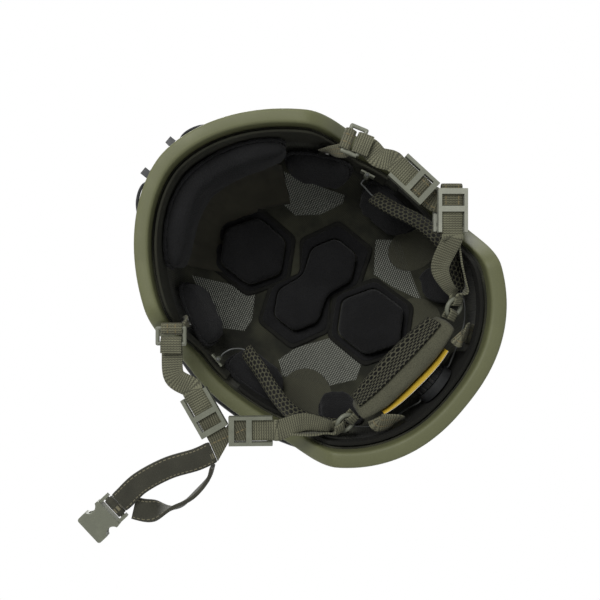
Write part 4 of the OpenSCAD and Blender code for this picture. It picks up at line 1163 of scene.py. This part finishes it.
def turned(controls, across):
    """The controls with their crosswise directions on the side of across."""
    flip = math.copysign(1, controls[0][1].dot(across))
    return [web(point, side * flip, width) for point, side, width in controls]


def rear_strap(lock, ring, turn, way_in, way_out):
    centre, way0, across0 = ring
    across0 = square_to(way0, across0)
    c, s = cos_sin(turn)
    way, across = way0 * c + across0 * s, across0 * c - way0 * s
    before, lift = centre - way * (ring_r + 3), way.cross(across) * (loop_r + 0.3)
    return [
        *turned(lock_end(lock) + way_in, across), web(before + lift, across, loop_w),
        *ring_loop(centre, way, across),
        web(before - lift, across, loop_w), *turned(way_out, across),
    ]


right_side = side_of(rear_lock_right[1])
left_side = side_of(rear_lock_left[1])
leaning = vec(-0.3, 0, -1)
way_in_right = [
    web(vec(-83.5, half_l - 80, 11.5), right_side, 13), web(vec(-76, half_l - 65.5, 18), right_side, 9.5),
]
way_out_right = [
    web(vec(-77.5, half_l - 58, 16), vec(0.4, 0.3, -0.8), 10),
    web(vec(-80.5, half_l - 62.5, 14), vec(0.3, 0, -1), 12),
    web(vec(-85, half_l - 68.5, 12.8), -up), web(vec(-91, half_l - 76, 13), -up),
    web(vec(-98, half_l - 86, 14), -up),
]
way_in_left = [
    web(vec(66, half_l - 74, 11), left_side, 13.5), web(vec(59.5, half_l - 61, 17.5), left_side, 9.5),
]
way_out_left = [
    web(vec(65.5, half_l - 47, 18.5), vec(-0.5, 0.3, -0.8), 11),
    web(vec(72, half_l - 54, 17.5), leaning, 13.5), web(vec(78, half_l - 62, 16), leaning),
    web(vec(86, half_l - 71, 15), leaning), web(vec(91, half_l - 77, 15), leaning),
]
for word, lock, ring, turn, way_in, way_out in (
    ("right", rear_lock_right, ring_right, 25, way_in_right, way_out_right),
    ("left", rear_lock_left, ring_left, -20, way_in_left, way_out_left),
):
    side_strap(word, "rear_strap", rear_strap(lock, ring, turn, way_in, way_out), ring[0], lock)


# %% Nape tabs and the card behind the pad
def nape_tab(bolt, t):
    across = wall_across(bolt[0])
    foot = nape_point(t, -28, 1.7)
    normal = nape_frame(t)[1]
    seam = normal.cross(up)
    seam *= math.copysign(1, seam.dot(across))
    down = [(9, 0), (1, 0), (-7.5, 0.6), (-13, 4.8), (-18.5, 7)]
    return [web(wall(bolt[0], bolt[1] + z, tab_inset + more), across) for z, more in down] + [
        web(foot + normal * 4 - up * 0.4, seam, 14), web(foot + up * 0.5, seam, 13),
    ]


tabs = join(strip(nape_tab(rear_bolt, 3.75)), strip(nape_tab((180 - rear_bolt[0], rear_bolt[1]), 0.5)))
piece("nape_tabs_woven", tabs, tab_cloth, "helmet", "nape_tabs", slot="webbing", sharp=60)

card_low, card_high, knob_low = 13.5, 43.5, 17


def card_leaf(out, t, material, name, *stands_for):
    """One leaf of the card. Below the knob its edge curls away from the pad, most at the middle."""
    def where(u, v):
        spine, normal, fat, _ = nape_frame(0.75 + 2.5 * u)
        z = card_low + (card_high - card_low) * v
        curl = 1.5 * arch(u) * smooth((knob_low - z) / (knob_low - card_low))
        rise = z - spine.z
        return spine + normal * (nape_t / 2 * fat + out + curl - nape_lean * rise) + up * rise

    piece(name, lay(32, 24, where, (0.1, 0.03)), material, "nape_rest", *stands_for, slot="card", thick=t)


card_leaf(0.35, 0.9, card, "fit_card_bent", "fit_card")
card_leaf(0.92, 0.16, card_edge, "fit_card_backing")

# %% [markdown]
# ## Where the straps of a side meet
# On the right they are sewn flat into one piece, which ends at the fold of the chin cup. It is one
# outline that is given its thickness. On the left the tape folds over the rear lock and holds the plug.

# %% Junctions
fold_at = vec(-half_w - 24.5, 20.5, web_z)
fold_out = vec(-0.89, -0.455, 0).normalized()
fold_across = side_of(fold_out)


def flat_sewn(corners, z, t, way):
    """A flat outline at height z, as thick as the tape, whose map runs along way."""
    bm = bmesh.new()
    uv = bm.loops.layers.uv.new("cloth")
    flat = bm.faces.new([bm.verts.new(vec(c.x, c.y, z - t / 2) * MM) for c in corners])
    grown = bmesh.ops.extrude_face_region(bm, geom=[flat])
    top = [g for g in grown["geom"] if isinstance(g, bmesh.types.BMVert)]
    bmesh.ops.translate(bm, vec=up * t * MM, verts=top)
    bmesh.ops.recalc_face_normals(bm, faces=bm.faces)
    middle = sum(corners, vec(0, 0, 0)) / len(corners)
    across = side_of(way)
    for face in bm.faces:
        for loop in face.loops:
            from_middle = loop.vert.co - middle * MM
            loop[uv].uv = (from_middle.dot(way), from_middle.dot(across))
    return bm


def junction_outline():
    f, r = front_lock_right, rear_lock_right
    end = fold_at - fold_out * (chin_t / 2 + 0.5)
    fs, rs, es = side_of(f[1]) * web_w / 2, side_of(r[1]) * web_w / 2, fold_across * web_w / 2
    half = lock_len / 2
    return [
        along(f, 1) + fs, along(f, 1) - fs, along(f, half + 1.5) - fs, along(r, half - 1.5) + rs,
        along(r, 1) + rs, along(r, 1) - rs, along(r, half) - rs, end - es, end + es,
        along(f, half + 0.4) + fs,
    ]


piece("junction_right_sewn", flat_sewn(junction_outline(), web_z, web_t * 0.96, fold_out), junction_cloth,
      "right_strap", "junction_right", slot="webbing", round_off=0.35)

plug_bar = vec(half_w - 26, 51.5, 12.6)
plug_way = vec(0.78, -0.63, 0).normalized()
bar_r = 1.6


def junction_left():
    f, r = front_lock_left, rear_lock_left
    a = side_of(r[1])
    over = web_z + lock_h / 2 + web_t / 2 + 0.4
    far = lock_len / 2 + bar_r
    hold = bar_r + web_t / 2 + 0.4

    def raised(k, x, z):
        return level(along(k, x)) + up * z

    fold = [
        web(along(r, 1), a), web(along(r, lock_len / 4), a), web(along(r, far - 1), a),
        *turn_round(raised(r, far, (over + web_z) / 2), r[1], (over - web_z) / 2, a, -90, 90),
        web(raised(r, far - 6, over), a), web(raised(r, 2, over), a),
        web(plug_bar + plug_way * 6 - up * (hold + 0.4), side_of(plug_way)),
        *turn_round(plug_bar, plug_way, hold, side_of(plug_way), 270, 90),
    ]
    top = over + web_t + 0.3
    b = side_of(f[1])
    lap = [
        web(along(f, 1), b), web(along(f, lock_len / 4), b), web(along(f, lock_len / 2 - 3) + up * 1.4, b),
        web(raised(f, lock_len / 2 + 0.5, top - 1), b),
        web(raised(f, lock_len / 2 + 7, top) + vec(1, 0, 0), vec(-0.9, 0.3, 0).normalized()),
        web(raised(r, 6, top), vec(-0.85, -0.5, 0).normalized()),
    ]
    return join(strip(fold), strip(lap))


piece("junction_left_sewn", junction_left(), junction_cloth, "left_strap", "junction_left", slot="webbing",
      sharp=60)

# %% [markdown]
# ## The chin cup
# Two soft bands start at one fold. The front one ends round the bar of the buckle's socket, and the
# rear one twists and lies beside it, so that the two hold a chin between them.

# %% Chin bands
socket_bar = vec(-half_w - 97, -8.5, 4.3)
socket_way = vec(-0.990, -0.139, 0).normalized()
socket_across = side_of(socket_way)


def chin(x, y, z, across):
    """A control of a chin band. Its x is counted outwards from the shell's side."""
    return web(vec(-half_w - x, y, z), across.normalized(), chin_w)


front_band = [
    web(fold_at + fold_out * 0.2, fold_across, chin_w),
    web(fold_at + fold_out * 12 - up * 0.4, fold_across, chin_w),
    chin(52, 3.5, 2.8, fold_across + side_of(vec(-1, -0.4, 0))), chin(72, -5, 2.6, side_of(vec(-1, -0.3, 0))),
    web(socket_bar - socket_way * 9 - up * 1.2, socket_across, chin_w),
    web(socket_bar - socket_way * 4.4 - up * 0.9, socket_across, chin_w - 0.6),
]


def hub(centre, way, inner, outer, width):
    """The sewn loop of cloth round a bar: a ring spun from its section."""
    across = side_of(way)
    lip = outer - 0.5
    section = [(inner, -0.5), (lip, -0.5), (outer, -0.46), (outer, 0.46), (lip, 0.5), (inner, 0.5)]

    def where(u, v):
        c, s = cos_sin(360 * u)
        r, share = section[round(v * 6) % 6]
        return centre + way * c * r + up * s * r + across * share * width

    return close(lay(32, 6, where, (0.02, 0.016)))


fold_roll = hub(fold_at, fold_out, 0.2, chin_t / 2 + 0.2, chin_w - 0.8)
bar_loop = hub(socket_bar, socket_way, bar_r + 0.05, bar_r + 1.6, chin_w - 0.8)
piece("chin_band_front_sewn", join(strip(front_band, 10, chin_t), fold_roll, bar_loop), chin_cloth,
      "chin_strap", "chin_band_front", slot="chin_cloth", sharp=60)

rear_start = fold_at + fold_out * 4 - fold_across * (chin_w / 2 + chin_t / 2 + 0.5)
rear_z = 0.6 + chin_w / 2
rear_band = [
    web(level(rear_start) + up * rear_z, up, chin_w),
    chin(42, 31, rear_z, up), chin(58, 30, rear_z + 0.4, up),
    chin(73, 25, 9.2, vec(0.35, 0.5, 0.9)), chin(85, 13, 7.6, vec(0.8, 0.3, 0.25)),
    chin(90.5, 2.5, 6.6, vec(0.98, 0.1, 0)),
]
piece("chin_band_rear_sewn", strip(rear_band, 10, chin_t), chin_cloth, "chin_strap", "chin_band_rear",
      slot="chin_cloth", sharp=60)

# %% [markdown]
# ## Sleeves and lace
# The fit lace runs inside two flattened tubes of spacer mesh. A tube is a grid laid round a curve, and
# its wall turns in at both ends, so that the open mouth shows its thickness.

# %% Sleeves
sleeve_path = [
    vec(75, -6, 66), vec(79, 12, 57), vec(84.6, 32, 46.8), vec(86.6, 52, 40), vec(79.6, 73.8, 42),
    vec(67.8, 91.6, 45),
]
sleeve_shift = vec(9, 2, -3)
sleeve_lean = vec(0.75, 0.1, 0.6)
sleeve_wide, sleeve_deep, sleeve_wall = 8, 3.8, 1.8


def sleeve_points(side):
    if side > 0:
        return [p + sleeve_shift * max(0, 1 - i / 3) for i, p in enumerate(sleeve_path)]
    return [vec(-p.x, p.y, p.z) for p in sleeve_path]


def tube(points, radii, across, sides, steps, size, walls=None):
    """A tube along points. With walls, a second skin runs back inside the first."""
    line = bend(points, steps)
    last = len(line) - 1
    spans = 2 * last + 2 if walls else last

    def where(u, v):
        k, (c, s) = round(u * spans), cos_sin(360 * v)
        inside = walls and k > last
        i = max(0, 2 * last + 1 - k) if inside else k
        wide, deep = walls if inside else radii
        way = way_at(line, i)
        side = square_to(way, across)
        return line[i] + side * wide * c + side.cross(way) * deep * s

    bm = lay(spans, sides, where, size)
    bmesh.ops.remove_doubles(bm, verts=bm.verts, dist=touching)
    return bm


for side, word in ((1, "left"), (-1, "right")):
    bm = tube(
        sleeve_points(side), (sleeve_wide - 0.2, sleeve_deep - 0.2),
        vec(side * sleeve_lean.x, sleeve_lean.y, sleeve_lean.z), 28, 8, (0.26, 0.040),
        (sleeve_wide - sleeve_wall, sleeve_deep - sleeve_wall),
    )
    bmesh.ops.bridge_loops(bm, edges=[e for e in bm.edges if e.is_boundary])
    bmesh.ops.recalc_face_normals(bm, faces=bm.faces)
    piece(f"sleeve_{word}_knitted", bm, sleeve_mesh, "helmet", f"sleeve_{word}", slot="spacer_mesh", sharp=50)

# %% Fit lace
dial_x, dial_z, dial_d, lace_d = -2, 32, 30, 1.2
dial_y = wall(90, dial_z, band_inner).y - 1.8
lace_y = dial_y - 1.8 - 3.2 / 2
guide_angle, guide_z = -11.5, 66
guide = wall(guide_angle, guide_z, band_inner + 4)


def lace_run(side):
    start = sleeve_points(side)[0]
    housing = side * dial_x + dial_d / 2 - 1.5
    route = [
        *(vec(housing + x, lace_y, dial_z) for x in (0, 2.5, 5)),
        vec(31, lace_y - 1.5, dial_z + 12), vec(48, lace_y - 7, dial_z + 16),
        vec(60, lace_y - 16, dial_z + 15),
        *(vec(abs(p.x), p.y, p.z) for p in reversed(sleeve_points(side))),
        vec((abs(start.x) * 2 + guide.x) / 3, guide.y + 4, start.z + 10), guide + vec(-5, 0, 10),
        guide + vec(-0.4, 0, 7), guide + vec(0, 0, 3), guide - vec(0, 0, 6),
    ]
    route = [vec(side * p.x, p.y, p.z) for p in route]
    bm = capped(tube(route, (lace_d / 2, lace_d / 2), vec(side * 0.3, 0.9, 0.2), 10, 6, (0.3, 0.004)))
    knot = bmesh.new()
    bmesh.ops.create_uvsphere(knot, u_segments=16, v_segments=10, radius=1.6 * MM)
    bmesh.ops.translate(knot, verts=knot.verts, vec=vec(side * guide.x, guide.y, guide.z - 7) * MM)
    return close(join(bm, knot))


piece("lace_pair", join(lace_run(1), lace_run(-1)), lace_cord, "helmet", "lace", slot="lace_cord", sharp=60)

# %% [markdown]
# The elastic lanyard runs through the shroud and hangs in a loop on each side, from a hook.

# %% Elastic lanyard
receiver_w, receiver_out, receiver_lean, shroud_z = 36, 13.5, 4, 28
bungee_r = 1.2
hook_x, hook_up, hook_out = 43, 25, 3.4


def front_wall(x, z, inset):
    """The point of the wall straight in front of x, at a height, by halving the angle."""
    low, high = -89.0, -30.0
    for _ in range(40):
        middle = (low + high) / 2
        low, high = (middle, high) if wall(middle, z, inset).x < x else (low, middle)
    return wall(low, z, inset)


def lanyard():
    y, z = 7.6 - receiver_out, 5
    c, s = cos_sin(receiver_lean)
    middle = vec(0, y * c + z * s - half_l - 1, shroud_z + 6 + z * c - y * s)
    loop = [
        (receiver_w / 4, 0, 0), (receiver_w / 2 + 1, 0, 0), (receiver_w / 2 + 6, -0.6, -3), (30, 2.4, -9),
        (37, 6.5, -9.5), (43, 11.5, -5), (46, 15, 2),
    ]
    hook = front_wall(hook_x, shroud_z + hook_up, -hook_out)
    side = [middle + vec(*p) for p in loop] + [hook + vec(1.5, -0.6, -6), hook - vec(0, 0, 2)]
    route = list(reversed(side)) + [vec(-p.x, p.y, p.z) for p in side]
    made = capped(tube(route, (bungee_r, bungee_r), vec(0.1, 0.3, 1), 12, 8, (0.3, 0.0075)))
    for m in (1, -1):
        knot = bmesh.new()
        bmesh.ops.create_cube(knot, size=1)
        bmesh.ops.scale(knot, verts=knot.verts, vec=vec(5.2, 4, 7) * MM)
        bmesh.ops.translate(knot, verts=knot.verts, vec=vec(0, 0.2, 1.7) * MM)
        bmesh.ops.bevel(knot, geom=knot.edges[:], offset=0.9 * MM, segments=2, affect="EDGES")
        bmesh.ops.rotate(knot, verts=knot.verts, matrix=Matrix.Rotation(math.radians(24 * m), 3, "Z"))
        bmesh.ops.translate(knot, verts=knot.verts, vec=vec(m * hook.x, hook.y, hook.z) * MM)
        join(made, knot)
    return close(made)


piece("bungee_braided", lanyard(), braid, "helmet", "bungee", slot="elastic_cord", sharp=50)

# %% [markdown]
# ## Floor, lamps and world
# The floor is a plain pale sheet. Seen from below, and for light that only passes, it is clear, so the
# camera and a lamp under it reach the inside. The white background comes from the world, for the rays
# that the camera and reflections see, and never from more light on the helmet.

# %% Floor
floor_finish = Finish("floor", Base_Color=tone(240, 240, 238), Roughness=0.9)
rays = floor_finish.ports("ShaderNodeLightPath")
seen = rays["Is Camera Ray"].greater(rays["Is Glossy Ray"])
behind = floor_finish.node("ShaderNodeNewGeometry", output="Backfacing")
clear = floor_finish.node("ShaderNodeBsdfTransparent")
sheet = Wire(floor_finish, floor_finish.shader.outputs[0])
shown = floor_finish.node("ShaderNodeMixShader", None, {0: seen * (1 - behind), 1: clear, 2: sheet})
floor_finish.tree.links.new(shown.socket, floor_finish.tree.nodes["Material Output"].inputs["Surface"])
floor_bm = bmesh.new()
bmesh.ops.create_grid(floor_bm, x_segments=1, y_segments=1, size=6)
bmesh.ops.translate(floor_bm, verts=floor_bm.verts, vec=(0, 0, -0.0006))
floor = object_of("floor", floor_bm)
floor.data.materials.append(floor_finish.material)
floor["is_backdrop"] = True


# %% Lamps
inside = Vector((0, 0, 80)) * MM


def lamp_from(name, kind, at, strength, **settings):
    data = bpy.data.lights.new(name, kind)
    data.energy = strength
    for key, value in settings.items():
        setattr(data, key, value)
    lamp = bpy.data.objects.new(name, data)
    scene.collection.objects.link(lamp)
    lamp.location = at
    lamp.rotation_euler = (inside - Vector(at)).to_track_quat("-Z", "Y").to_euler()


lamp_from("key_below", "AREA", picture_up * 0.55 - picture_right * 0.35 - up * 0.95, 8.4, size=0.6)
lamp_from("fill_below", "AREA", picture_right * 0.5 - picture_up * 0.5 - up * 0.8, 2.2, size=1.0)
lamp_from("key_above", "SUN", (0.7, -1.0, 1.5), 2.3, angle=0.35)
lamp_from("fill_above", "SUN", (-1.2, 0.8, 1.0), 0.7, angle=0.9)

# %% World
world = bpy.data.worlds.new("studio")
scene.world = world
world.use_nodes = True
sky = Workbench(world.node_tree)
sky.tree.nodes.clear()
rays = sky.ports("ShaderNodeLightPath")
direct = greatest([rays[f"Is {kind} Ray"] for kind in ("Camera", "Glossy", "Transmission")])
soft, white = [
    sky.node("ShaderNodeBackground", None, {"Color": colour, "Strength": strength})
    for colour, strength in (((0.93, 0.96, 1.0, 1), 0.26), ((1, 1, 1, 1), 1.0))
]
both = sky.node("ShaderNodeMixShader", None, {0: direct, 1: soft, 2: white})
end = sky.tree.nodes.new("ShaderNodeOutputWorld")
sky.tree.links.new(both.socket, end.inputs["Surface"])

# %% Sizes of the CAD and of what is shown, and the end
shown_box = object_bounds()
for word, box in (("cad", cad_box), ("visual", shown_box)):
    print(word, [[round(c, 4) for c in corner] for corner in box])
